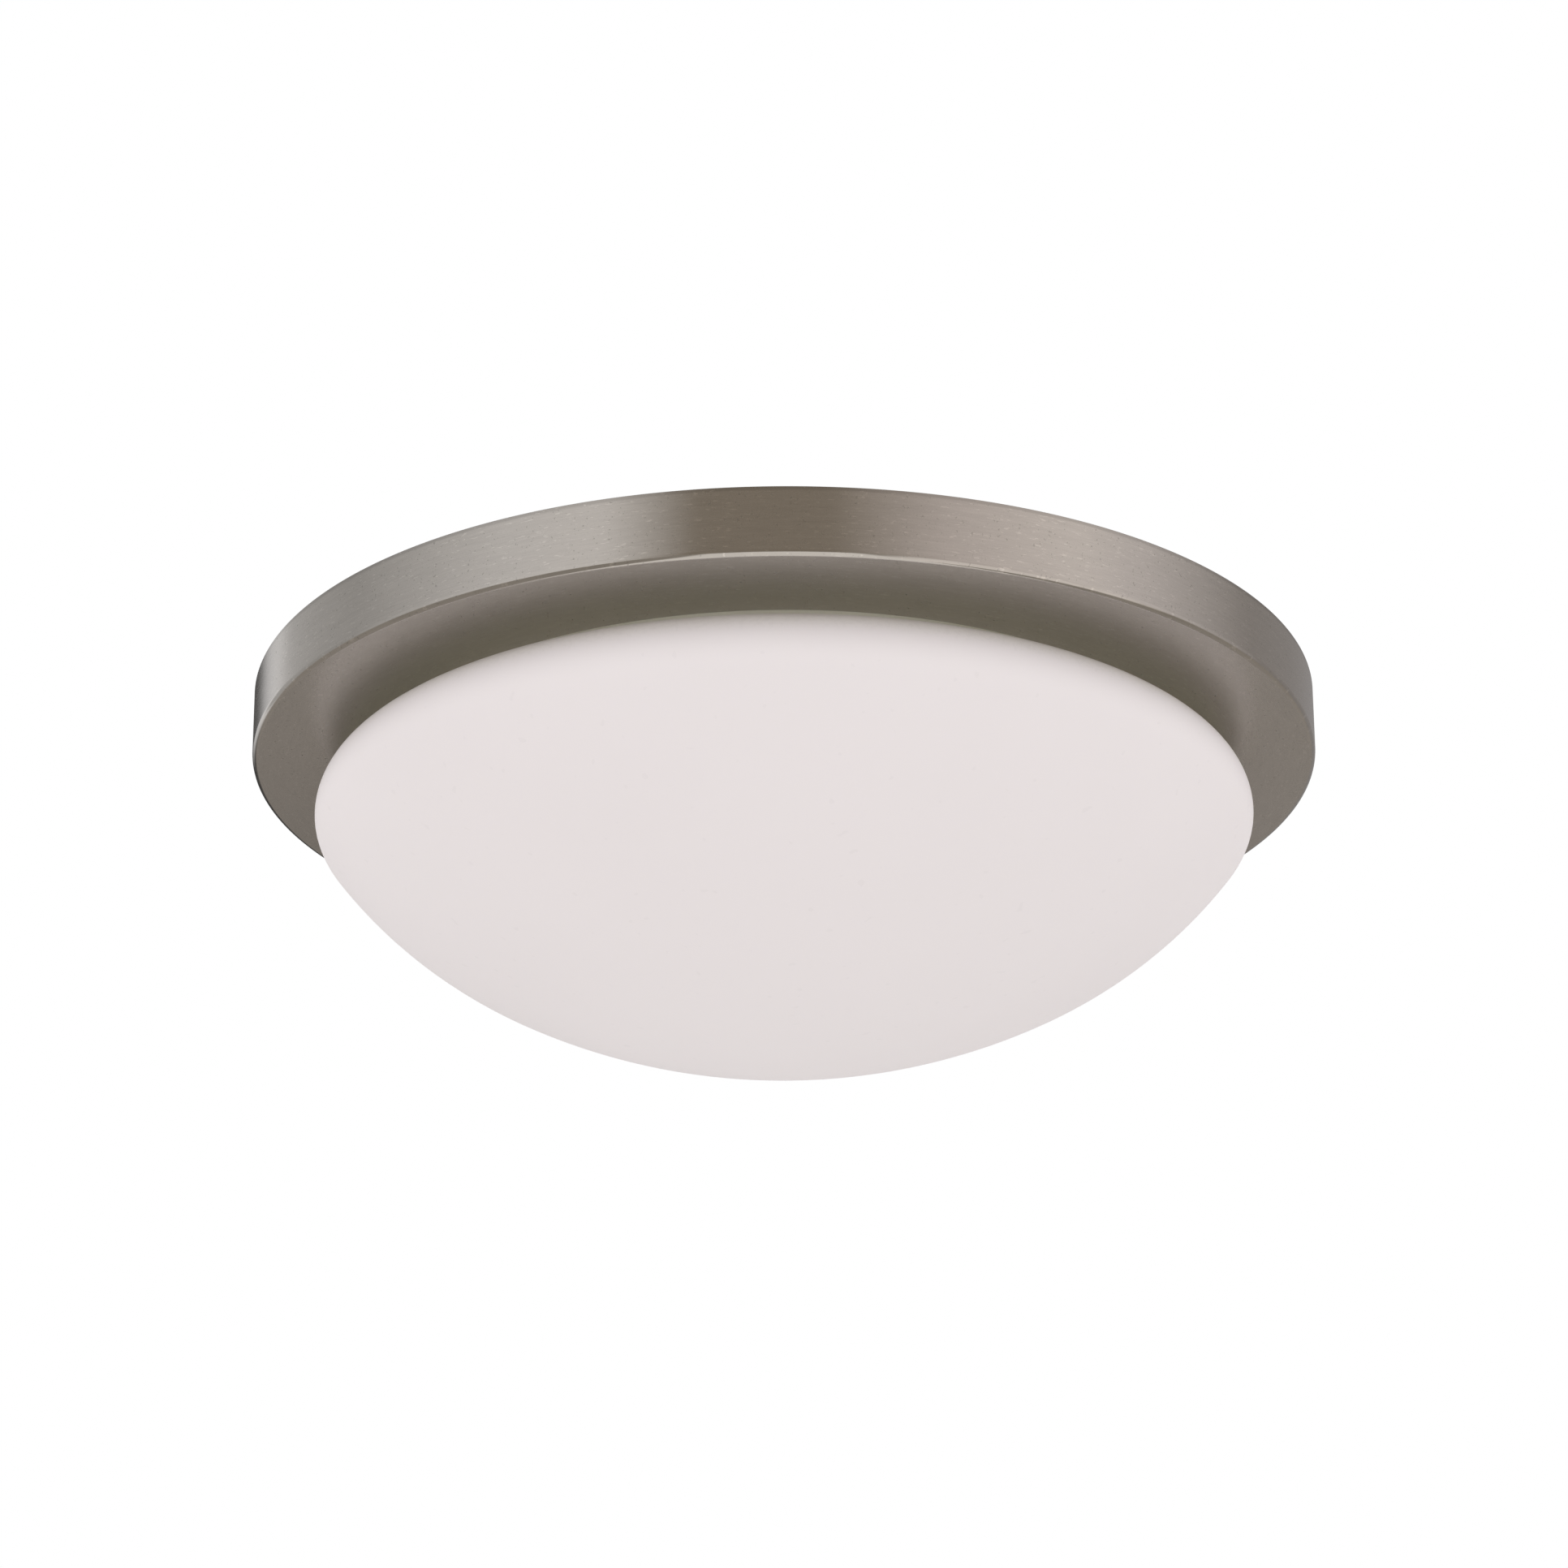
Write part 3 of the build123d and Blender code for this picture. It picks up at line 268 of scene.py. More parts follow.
def turned(name, reach, height, segments, place=CEILING, loop=True):
    """Surface turned about an axis.

    Point (i, j) lies at reach[i, j] * (cos a, sin a) across the axis and height[i, j] along it,
    with a = 2 pi j / segments. The rows close into a loop, or else each end row runs into one
    point on the axis."""
    ways, origin = place
    angles = 2 * math.pi * np.arange(segments) / segments
    reach = np.broadcast_to(reach, (len(reach), segments))
    height = np.broadcast_to(height, (len(height), segments))
    local = np.stack([reach * np.cos(angles), reach * np.sin(angles), height], -1)
    rows = len(reach)
    points = local.reshape(-1, 3)
    i, j = np.meshgrid(np.arange(rows if loop else rows - 1), np.arange(segments), indexing="ij")
    i, j = i.ravel(), j.ravel()
    following = (i + 1) % rows
    beside = (j + 1) % segments
    faces = [np.stack([i * segments + j, following * segments + j,
                       following * segments + beside, i * segments + beside], 1)]
    if not loop:
        ends = np.array([[0, 0, height[0].mean()], [0, 0, height[-1].mean()]])
        first, last = len(points), len(points) + 1
        points = np.concatenate([points, ends])
        ring = np.arange(segments)
        after = (ring + 1) % segments
        bottom = (rows - 1) * segments
        faces.append(np.stack([np.full(segments, first), ring, after], 1))
        faces.append(np.stack([np.full(segments, last), bottom + after, bottom + ring], 1))
    return add_object(name, points @ ways + origin, faces)


def column(values):
    """A row of values as a column, for a shape that is the same all the way round."""
    return np.asarray(values, float).reshape(-1, 1)


def turned_line(name, outline, segments, place=CEILING, loop=True):
    """Surface turned from an outline of points (reach, height)."""
    return turned(name, column(outline[:, 0]), column(outline[:, 1]), segments, place, loop)


def finish_piece(piece, body, slot, *nodes):
    """Gives a piece its slot's finish, its body and the nodes that it stands for."""
    piece.data.materials.append(bpy.data.materials[f"finish_{slot}"])
    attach(piece, body)
    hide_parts(*nodes)


# ---- shader tools


def both_ways(operation):
    """An operator of two values, and its reflected form, each as one maths node."""
    def forward(self, other):
        return self.maths(operation, self, other)

    def reflected(self, other):
        return self.maths(operation, other, self)

    return forward, reflected


class Wire:
    """One output of a shader node, so that sums and products of values can be written out."""

    __add__, __radd__ = both_ways("ADD")
    __sub__, __rsub__ = both_ways("SUBTRACT")
    __mul__, __rmul__ = both_ways("MULTIPLY")
    __truediv__, __rtruediv__ = both_ways("DIVIDE")
    __pow__, __rpow__ = both_ways("POWER")

    def __init__(self, shade, socket):
        self.shade = shade
        self.socket = socket

    def maths(self, operation, *terms):
        return self.shade.node("ShaderNodeMath", {"operation": operation},
                               dict(enumerate(terms)))

    def __neg__(self):
        return self.maths("MULTIPLY", self, -1.0)

    def between(self, low, high):
        """0 below low and 1 above high, with a smooth step between."""
        return self.shade.node("ShaderNodeMapRange", {"interpolation_type": "SMOOTHSTEP"},
                               {"Value": self, "From Min": low, "From Max": high})


class Shade:
    """A material or world under construction."""

    def __init__(self, owner):
        owner.use_nodes = True
        self.owner = owner
        self.tree = owner.node_tree
        self.tree.nodes.clear()

    def node(self, kind, settings=None, inputs=None, output=0):
        """Adds a node, sets it up, fills its sockets with values or links, returns an output."""
        made = self.tree.nodes.new(kind)
        for key, value in (settings or {}).items():
            if key == "stops":
                ramp = made.color_ramp
                while len(ramp.elements) < len(value):
                    ramp.elements.new(1.0)
                for element, (place, tone) in zip(ramp.elements, value):
                    element.position = place
                    element.color = (*tone, 1.0)
            else:
                setattr(made, key, value)
        for key, value in (inputs or {}).items():
            if isinstance(value, Wire):
                self.tree.links.new(value.socket, made.inputs[key])
            else:
                made.inputs[key].default_value = value
        return Wire(self, made.outputs[output]) if made.outputs else None

    def point(self):
        """Object coordinates."""
        return self.node("ShaderNodeTexCoord", output="Object")

    def parts(self, vector):
        """The three parts of a vector."""
        return [self.node("ShaderNodeSeparateXYZ", None, {"Vector": vector}, axis)
                for axis in "XYZ"]

    def vector(self, x, y, z):
        """A vector from three values."""
        return self.node("ShaderNodeCombineXYZ", None, {"X": x, "Y": y, "Z": z})

    def noise(self, vector, scale, detail=3.0, roughness=0.55):
        """Fractal noise about 0.5."""
        return self.node("ShaderNodeTexNoise", None,
                         {"Vector": vector, "Scale": scale, "Detail": detail,
                          "Roughness": roughness}, "Fac")

    def mix(self, share, first, second):
        """Colour between the first and the second, which a Mix node has at inputs 6 and 7 and
        at output 2, behind those for values and vectors."""
        return self.node("ShaderNodeMix", {"data_type": "RGBA"},
                         {0: share, 6: first, 7: second}, 2)

    def tint(self, share, tone, low, high):
        """Colour between a tone's low and high multiples, each part 1 at most."""
        return self.mix(share, *((*(min(1.0, part * factor) for part in tone), 1.0)
                                 for factor in (low, high)))

    def bump(self, height, strength, distance):
        """Normal that follows a height."""
        return self.node("ShaderNodeBump", None,
                         {"Height": height, "Strength": strength, "Distance": distance})

    def output(self, surface):
        """The material, with a surface on its output."""
        self.node("ShaderNodeOutputMaterial", None, {"Surface": surface})
        return self.owner

    def surface(self, inputs):
        """The material, with a principled surface."""
        return self.output(self.node("ShaderNodeBsdfPrincipled", None, inputs))


def new_shade(name):
    """A new material, for a slot or for a piece of the stage."""
    return Shade(bpy.data.materials.new(f"finish_{name}"))


# ---- finishes


# where the glossy bend ends, from the pan's corner, and the heights where painted shade darkens
# the wall's upper edge
GLOSSY_BEND, PAINTED_TOP_SHADE = (1.45 * MM, 1.9 * MM), (-1.6 * MM, -0.4 * MM)
# heights where the glass's upper shoulder sets in, and reaches where its faint light ends
UPPER_SHOULDER, GLOW_END = (-37.0 * MM, -29.0 * MM), (137.0 * MM, 143.0 * MM)
# painted warm light from the nickel pan, mixed into the glass's upper shoulder
PAN_BOUNCE_TINTS = ((0.81, 0.765, 0.715, 1), (0.86, 0.81, 0.76, 1))
GLASS_GLOW = (0.110, 0.110, 0.086, 1)


def brushed_round(name, tone, roughness, line_rate, stretch):
    """Metal brushed in rings about the Z axis, so that reflections smear across the rings.

    The noise is read at (stretch x / r, stretch y / r, rate (r - z)), so its lines run round the
    axis on an upright wall, on a level face and on the bend between them, with no seam. The
    outer bend is glossier, for the photo's crisp line along it. The wall's upper edge is darker:
    painted shade in the base colour."""
    shade = new_shade(name)
    point = shade.point()
    x, y, z = shade.parts(point)
    radius = (x * x + y * y) ** 0.5
    across = radius - z
    around_x = x / radius * stretch
    around_y = y / radius * stretch

    def lines(rate, shortness=1.0):
        vector = shade.vector(around_x * shortness, around_y * shortness, across * rate)
        return shade.noise(vector, 1.0, 4.0, 0.6)

    fine = lines(line_rate)
    middle = lines(line_rate / 2.5, 1.6)
    coarse = lines(line_rate / 9)
    broad = shade.noise(point, 9.0, 2.0)
    dashes = lines(line_rate / 3, 5.0).between(0.61, 0.68)
    specks = shade.noise(point, 1100.0, 1.0).between(0.69, 0.74)
    grain = fine * 0.4 + middle * 0.35 + coarse * 0.25
    from_corner = (pan_high.x - radius) + (z - pan_low.z)
    bend = 1.0 - from_corner.between(*GLOSSY_BEND)
    share = (grain - 0.5) * 1.3 + 0.5 + (broad - 0.5) * 0.35 + dashes * 0.9 - specks * 1.1
    # painted shade: the base colour darkens along the wall's upper edge
    share = share - z.between(*PAINTED_TOP_SHADE) * 0.7
    return shade.surface({
        "Base Color": shade.tint(share, tone, 0.80, 1.20),
        "Metallic": 0.88,
        "Roughness": roughness + (grain - 0.5) * 0.12 + specks * 0.1 - bend * 0.12,
        "Anisotropic": 0.9,
        "Anisotropic Rotation": 0.25,
        "Normal": shade.bump(fine * 0.5 + middle * 0.4 - specks * 0.2, 0.14, 0.00003),
    })


def etched_glass(name, tone, roughness):
    """Opal glass with an etched outside: nearly even white, with a fine tooth and pin marks.

    The upper shoulder is a little warmer, a painted tint of the light that the nickel pan throws
    onto it, and mottled. Its inner part gives off a faint light, which stands for daylight from
    inside the bowl."""
    shade = new_shade(name)
    point = shade.point()
    x, y, z = shade.parts(point)
    cloud = shade.noise(point, 14.0, 3.0)
    tooth = shade.noise(point, 2600.0, 2.0)
    pins = shade.noise(point, 330.0, 0.0).between(0.79, 0.83)
    radius = (x * x + y * y) ** 0.5
    upper = z.between(*UPPER_SHOULDER)
    through = upper * (1.0 - radius.between(*GLOW_END))
    fringe = shade.noise(point, 700.0, 2.0).between(0.5, 0.66) * upper
    share = 0.5 + (cloud - 0.5) * 0.5 + (tooth - 0.5) * 0.3 - pins * 0.5 - fringe * 2.0
    body = shade.tint(share, tone, 0.965, 1.02)
    # painted warm light from the pan, for the upper shoulder
    pan_bounce = shade.mix(share, *PAN_BOUNCE_TINTS)
    return shade.surface({
        "Emission Color": shade.mix(through, (0, 0, 0, 1), GLASS_GLOW),
        "Emission Strength": 1.0,
        "Base Color": shade.mix(upper * 0.75, body, pan_bounce),
        "Roughness": roughness + (cloud - 0.5) * 0.08,
        "Specular IOR Level": 0.22,
        "Subsurface Weight": 0.15,
        "Subsurface Radius": (0.005, 0.005, 0.0045),
        "Subsurface Scale": 1.0,
        "Normal": shade.bump(tooth, 0.10, 0.00003),
    })


def plain_metal(name, tone, roughness, tooth_rate=900.0, spread=0.10):
    """Rolled or plated metal with a fine tooth, soft blotches and small rub marks."""
    shade = new_shade(name)
    point = shade.point()
    tooth = shade.noise(point, tooth_rate, 3.0)
    blotch = shade.noise(point, 60.0, 3.0)
    rubs = shade.noise(point, 240.0, 4.0, 0.7).between(0.58, 0.72)
    share = 0.5 + (blotch - 0.5) * 0.9 + rubs * 0.25
    return shade.surface({
        "Base Color": shade.tint(share, tone, 1 - spread, 1 + spread),
        "Metallic": 1.0,
        "Roughness": roughness + (tooth - 0.5) * 0.14 + rubs * 0.07,
        "Normal": shade.bump(tooth, 0.12, 0.00004),
    })


def rolled_sheet(name, tone, roughness):
    """Bright sheet with rolling lines along X."""
    shade = new_shade(name)
    point = shade.point()
    x, y, z = shade.parts(point)
    lines = shade.noise(shade.vector(x * 18.0, y * 2600.0, z), 1.0, 3.0)
    cloud = shade.noise(point, 25.0, 3.0)
    return shade.surface({
        "Base Color": shade.tint(0.5 + (lines - 0.5) * 0.8, tone, 0.93, 1.05),
        "Metallic": 1.0,
        "Roughness": roughness + (lines - 0.5) * 0.12 + (cloud - 0.5) * 0.1,
        "Normal": shade.bump(lines, 0.10, 0.00003),
    })


def moulded(name, tone, roughness, tooth_rate=700.0, depth=0.00005, coat=0.0):
    """Moulded or fired material: even colour with faint clouds and a fine tooth."""
    shade = new_shade(name)
    point = shade.point()
    tooth = shade.noise(point, tooth_rate, 3.0)
    cloud = shade.noise(point, 45.0, 3.0)
    share = 0.5 + (cloud - 0.5) * 0.8 + (tooth - 0.5) * 0.3
    return shade.surface({
        "Base Color": shade.tint(share, tone, 0.93, 1.05),
        "Roughness": roughness + (tooth - 0.5) * 0.12 + (cloud - 0.5) * 0.08,
        "Coat Weight": coat,
        "Coat Roughness": 0.06,
        "Normal": shade.bump(tooth, 0.25, depth),
    })


def glass_wool(name, tone):
    """Matted fibres: stretched noises in two directions, with an uneven tone of their own. The
    colour follows the bump, so its hollows are darker: painted shade.
    """
    shade = new_shade(name)
    point = shade.point()
    x, y, z = shade.parts(point)
    along = shade.vector(x * 220.0, y * 1500.0, z * 900.0)
    across = shade.vector(x * 1500.0, y * 240.0, z * 900.0)
    fibres = (shade.noise(along, 1.0, 4.0, 0.7) + shade.noise(across, 1.0, 4.0, 0.7)) * 0.5
    tufts = shade.noise(point, 130.0, 4.0, 0.6)
    # tone follows the bump's height: the fibres' own variation, and painted shade in the hollows
    share = 0.5 + (fibres - 0.5) * 1.6 + (tufts - 0.5) * 1.0
    return shade.surface({
        "Base Color": shade.tint(share, tone, 0.72, 1.12),
        "Roughness": 0.92,
        "Sheen Weight": 0.35,
        "Normal": shade.bump(fibres * 0.6 + tufts * 0.4, 0.6, 0.0006),
    })


INSULATION = {"roughness": 0.36, "tooth_rate": 1600.0, "depth": 0.00003}
# how the finish of each of the record's slots is made
RECIPES = {
    "brushed_nickel": (brushed_round, {"roughness": 0.21, "line_rate": 5200.0, "stretch": 12.0}),
    "opal_glass": (etched_glass, {"roughness": 0.66}),
    "frosted_glass": (moulded, {"roughness": 0.42, "tooth_rate": 1800.0, "depth": 0.00002}),
    "porcelain": (moulded, {"roughness": 0.22, "tooth_rate": 300.0, "depth": 0.00006,
                            "coat": 0.8}),
    "zinc_plate": (plain_metal, {"roughness": 0.34}),
    "spring_steel": (plain_metal, {"roughness": 0.30, "tooth_rate": 1200.0, "spread": 0.06}),
    "brass": (plain_metal, {"roughness": 0.28}),
    "aluminium_shell": (plain_metal, {"roughness": 0.27, "tooth_rate": 1500.0, "spread": 0.06}),
    "bright_aluminium": (rolled_sheet, {"roughness": 0.20}),
    "green_screw": (plain_metal, {"roughness": 0.33}),
    "glass_wool": (glass_wool, {}),
    "silicone": (moulded, {"roughness": 0.48, "tooth_rate": 900.0, "depth": 0.00003}),
    "black_plastic": (moulded, {"roughness": 0.45}),
    "block_plastic": (moulded, {"roughness": 0.42}),
    "black_lead": (moulded, INSULATION),
    "white_lead": (moulded, INSULATION),
    "black_glass": (moulded, {"roughness": 0.08, "tooth_rate": 500.0, "depth": 0.00002,
                              "coat": 0.5}),
    "solder": (plain_metal, {"roughness": 0.40, "tooth_rate": 2200.0, "spread": 0.14}),
}


# ---- pieces


def pan_skin(sizes, segments):
    """The pressed sheet turned about Z: from the middle of the upper edge down the wall, along
    the face, up the recess and in to the back plate, then back one sheet thickness inside."""
    radius, depth, sheet = sizes.radius, sizes.depth, sizes.sheet
    mouth, plate = sizes.mouth_radius, sizes.plate_depth
    edge, bend, raw = sizes.edge_radius, sizes.mouth_bend, sizes.raw_edge
    end, start = mouth - 2 * bend, (radius - sheet / 2, 0)
    outline = rounded_line(
        [start, (radius, 0), (radius, -depth), (mouth, -depth), (mouth, -plate), (end, -plate),
         (end, sheet - plate), (mouth + sheet, sheet - plate), (mouth + sheet, sheet - depth),
         (radius - sheet, sheet - depth), (radius - sheet, 0), start],
        [raw, edge, bend, bend - sheet, raw, raw, bend, bend - sheet, edge - sheet, raw])[:-1]
    return turned_line("pan_shell", outline, segments)


def flat_plate(name, outside, holes, thickness, top):
    """Flat sheet from closed outlines: the outside, less its holes, with its thickness below."""
    curve = bpy.data.curves.new(name, "CURVE")
    curve.dimensions = "2D"
    curve.fill_mode = "BOTH"
    curve.extrude = thickness / 2
    for outline in (outside, *holes):
        spline = curve.splines.new("POLY")
        spline.points.add(len(outline) - 1)
        flat = np.zeros((len(outline), 4))
        flat[:, :2] = outline
        flat[:, 3] = 1
        spline.points.foreach_set("co", flat.ravel())
        spline.use_cyclic_u = True
    drawn = bpy.data.objects.new(name, curve)
    bpy.context.scene.collection.objects.link(drawn)
    bpy.context.view_layer.update()
    mesh = bpy.data.meshes.new_from_object(drawn)
    bpy.data.objects.remove(drawn)
    points = np.empty(len(mesh.vertices) * 3)
    mesh.vertices.foreach_get("co", points)
    points = points.reshape(-1, 3) + (0, 0, top - thickness / 2)
    faces = [np.array([polygon.vertices[:]]) for polygon in mesh.polygons]
    bpy.data.meshes.remove(mesh)
    plate = add_object(name, points, faces)
    plate.data.polygons.foreach_set("use_smooth", np.zeros(len(plate.data.polygons), bool))
    return plate


def ring_points(x, y, radius, steps=48):
    """Circle about (x, y)."""
    return arc_line((x, y), radius, 0, 2 * math.pi, steps)[:-1]


def keyhole_points(sizes, side):
    """Keyhole: a slot end about the screw, straight sides, and the wide entry a travel away.

    The straight sides stand one slot radius from the middle line, so they meet the entry's
    circle at asin(slot / entry) either side of that line."""
    screw_x = side * sizes.screw_spacing / 2
    entry_y = -side * sizes.keyhole_travel
    meet = math.asin(sizes.keyhole_slot / sizes.keyhole_entry)
    toward = side * math.pi / 2
    slot_end = arc_line((screw_x, 0), sizes.keyhole_slot, toward - math.pi / 2,
                        toward + math.pi / 2, 16)
    entry = arc_line((screw_x, entry_y), sizes.keyhole_entry, toward + meet,
                     toward + 2 * math.pi - meet, 32)
    return np.concatenate([slot_end, entry])


class LIGHT_OT_finishes(bpy.types.Operator):
    """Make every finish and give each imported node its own"""

    bl_idname = "ceiling_light.finishes"
    bl_label = "Finishes"

    def execute(self, context):
        tones = context.scene.light_finishes
        materials = {slot: make(slot, getattr(tones, slot), **details)
                     for slot, (make, details) in RECIPES.items()}
        for entry in frame["record"]["subparts"]:
            node = frame["nodes"][entry["node"]]
            if not node.material_slots:
                node.data.materials.append(None)
            for holder in node.material_slots:
                holder.link = "OBJECT"
                holder.material = materials[entry["material_slot"]]
        return {"FINISHED"}


class LIGHT_OT_pan(bpy.types.Operator):
    """Make the brushed pan: its turned skin and its back plate with keyholes and holes"""

    bl_idname = "ceiling_light.pan"
    bl_label = "Pan"

    def execute(self, context):
        sizes = context.scene.pan_sizes
        segments = context.scene.stage_settings.segments
        shell = pan_skin(sizes, segments)
        finish_piece(shell, "fixture", "brushed_nickel", "pan")
        bushing_low, bushing_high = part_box("wire_bushing")
        bushing = (bushing_low + bushing_high) / 2
        holes = [ring_points(bushing.x, bushing.y, sizes.bushing_hole)]
        holes += [keyhole_points(sizes, side) for side in (1, -1)]
        inside = ring_points(0, 0, sizes.mouth_radius - 2 * sizes.mouth_bend, segments)
        plate = flat_plate("pan_back", inside, holes, sizes.sheet,
                           sizes.sheet - sizes.plate_depth)
        finish_piece(plate, "fixture", "brushed_nickel", "pan")
        return {"FINISHED"}


def dome_line(sizes, inset, steps=22):
    """Shoulder, side and crown arcs of the bowl, moved inwards by the inset.

    The three arcs touch at the shoulder's end angle f and the side's end angle l. With reach R
    and drop D from the shoulder arc's centre to the crown, the side arc is longer in radius than
    the shoulder's by (R (1 - sin l) - D cos l) / s, and the crown's longer than the side's by
    (D cos f - R (1 - sin f)) / s, where s = cos f (1 - sin l) - cos l (1 - sin f)."""
    first, last = sizes.shoulder_end, sizes.side_end
    widest = sizes.shoulder_depth + sizes.shoulder_radius
    reach = sizes.radius - sizes.shoulder_radius
    drop = sizes.bottom - widest - sizes.shoulder_radius
    share = math.cos(first) * (1 - math.sin(last)) - math.cos(last) * (1 - math.sin(first))
    side_extra = (reach * (1 - math.sin(last)) - drop * math.cos(last)) / share
    crown_extra = (drop * math.cos(first) - reach * (1 - math.sin(first))) / share
    shoulder = np.array([reach, -widest])
    side = shoulder - np.array([math.cos(first), -math.sin(first)]) * side_extra
    crown = side - np.array([math.cos(last), -math.sin(last)]) * crown_extra
    side_radius = sizes.shoulder_radius + side_extra - inset
    crown_radius = side_radius + crown_extra
    quarter = math.pi / 2
    return np.concatenate([
        arc_line(shoulder, sizes.shoulder_radius - inset, quarter, -first, steps),
        arc_line(side, side_radius, -first, -last, steps)[1:],
        arc_line(crown, crown_radius, -last, -quarter, 2 * steps)[1:-1],
    ])


class LIGHT_OT_bowl(bpy.types.Operator):
    """Make the opal glass bowl: dome, shoulder, neck and bead, with its inside"""

    bl_idname = "ceiling_light.bowl"
    bl_label = "Glass bowl"

    def execute(self, context):
        sizes = context.scene.bowl_sizes
        start, rounding = sizes.radius - sizes.shoulder_radius, sizes.bead_rounding
        neck, top, rim = sizes.neck_radius, -sizes.shoulder_depth, -sizes.rim
        bead, under = neck + sizes.bead_out, rim - sizes.bead_height
        inside, ceiling = neck - sizes.wall, top - sizes.wall
        line = rounded_line(
            [(start, top), (neck, top), (neck, under), (bead, under), (bead, rim),
             (inside, rim), (inside, ceiling), (start, ceiling)],
            [sizes.neck_fillet, *[rounding] * 4, sizes.inside_rounding])
        outline = np.concatenate([dome_line(sizes, 0)[::-1], line[1:-1],
                                  dome_line(sizes, sizes.wall)])
        piece = turned_line("opal_bowl", outline, context.scene.stage_settings.segments,
                            loop=False)
        finish_piece(piece, "bowl", "opal_glass", "glass_bowl")
        return {"FINISHED"}


class LIGHT_OT_rings(bpy.types.Operator):
    """Make the glass wool behind the back plate and the silicone ring above the glass"""

    bl_idname = "ceiling_light.rings"
    bl_label = "Pad and cushion"

    def execute(self, context):
        segments = context.scene.stage_settings.segments
        sizes = context.scene.ring_sizes
        self.wool(sizes, segments)
        outside, inside = cushion_high.x, sizes.cushion_bore
        start = ((outside + inside) / 2, cushion_low.z)
        outline = rounded_line(
            [start, (outside, cushion_low.z), (outside, cushion_high.z),
             (inside, cushion_high.z), (inside, cushion_low.z), start],
            [sizes.cushion_rounding] * 4, 5)[:-1]
        ring = turned_line("silicone_ring", outline, segments)
        finish_piece(ring, "cushion", "silicone", "cushion_ring")
        return {"FINISHED"}

    def wool(self, sizes, segments):
        """Ring of glass wool, flat where it lies on the plate, crowned and lumpy on top.

        The section is a superellipse |u|^4 + |v|^4 = 1 scaled to the ring's width and height.
        Its upper half sinks by lumps, products and sums of sines round and across the ring."""
        steps = 64
        way = 2 * math.pi * np.arange(steps) / steps
        u = np.sign(np.cos(way)) * np.abs(np.cos(way)) ** 0.5
        v = np.sign(np.sin(way)) * np.abs(np.sin(way)) ** 0.5
        angles = 2 * math.pi * np.arange(segments) / segments
        lumps = (np.sin(23 * angles + 3 * column(u)) + np.sin(41 * angles - 5 * column(u))
                 + np.sin(67 * angles + 2) * 0.6)
        middle, half = (pad_high.x + sizes.pad_bore) / 2, (pad_high.x - sizes.pad_bore) / 2
        edge = sizes.pad_wave * np.sin(31 * angles) * np.cos(12 * angles)
        inset = 0.5 * MM + 0.5 * np.abs(edge) - 0.5 * edge
        reach = middle + column(u) * (half - inset)
        height = (pad_low.z + pad_high.z) / 2 + column(v) * (pad_high.z - pad_low.z) / 2
        sink = np.clip(column(v), 0, 1) * (sizes.pad_dip * (1.3 + lumps / 2.6))
        pad = turned("wool_pad", reach, height - sink, segments)
        finish_piece(pad, "fixture", "glass_wool", "insulation_pad")


def lamp_place(sizes, side):
    """Frame of a lamp: the middle of its holder's rear face, with the last way along the lamp."""
    return place_on((-side * sizes.shift, side * sizes.offset, -sizes.depth),
                    (0, side, 0), (0, 0, 1), (side, 0, 0))


def bulb_line(sizes, inset):
    """Straight neck, flare arc and round head of the bulb, moved inwards by the inset.

    The flare arc touches the neck line where it starts, and its radius makes it touch the head:
    (rise^2 + neck^2 - head^2) / (2 (head - neck)), with rise from the flare's start to the
    head's middle."""
    neck, widest, base = sizes.bulb_neck, sizes.bulb_radius, sizes.contact_place
    head, flare = base + sizes.bulb_length - widest, base + sizes.flare_start
    rise = head - flare
    flare_radius = (rise ** 2 + neck ** 2 - widest ** 2) / (2 * (widest - neck))
    middle = neck + flare_radius
    touch = math.atan2(rise, middle)
    return np.concatenate([
        [(neck - inset, base + sizes.glass_tail)],
        arc_line((middle, flare), flare_radius + inset, math.pi, math.pi - touch, 20),
        arc_line((0, head), widest - inset, -touch, math.pi / 2, 40)[1:-1],
    ])


def thread_skin(name, sizes, rows, base_reach, swings, place, segments=96):
    """Turned wall whose reach swings with a right-handed helix.

    Reach = base + swing * sin(2 pi height / pitch - angle), so the crest climbs one pitch a
    turn. The swing fades to nothing at the thread's ends."""
    angles = 2 * math.pi * np.arange(segments) / segments
    wave = np.sin(2 * math.pi * column(rows) / sizes.pitch - angles)
    reach = column(base_reach) + column(swings) * wave
    return turned(name, reach, column(rows), segments, place)


def fade(rows, start, end, width):
    """0 outside start and end, 1 between them, with smooth ramps of the given width."""
    share = np.clip(np.minimum(rows - start, end - rows) / width, 0, 1)
    return share * share * (3 - 2 * share)


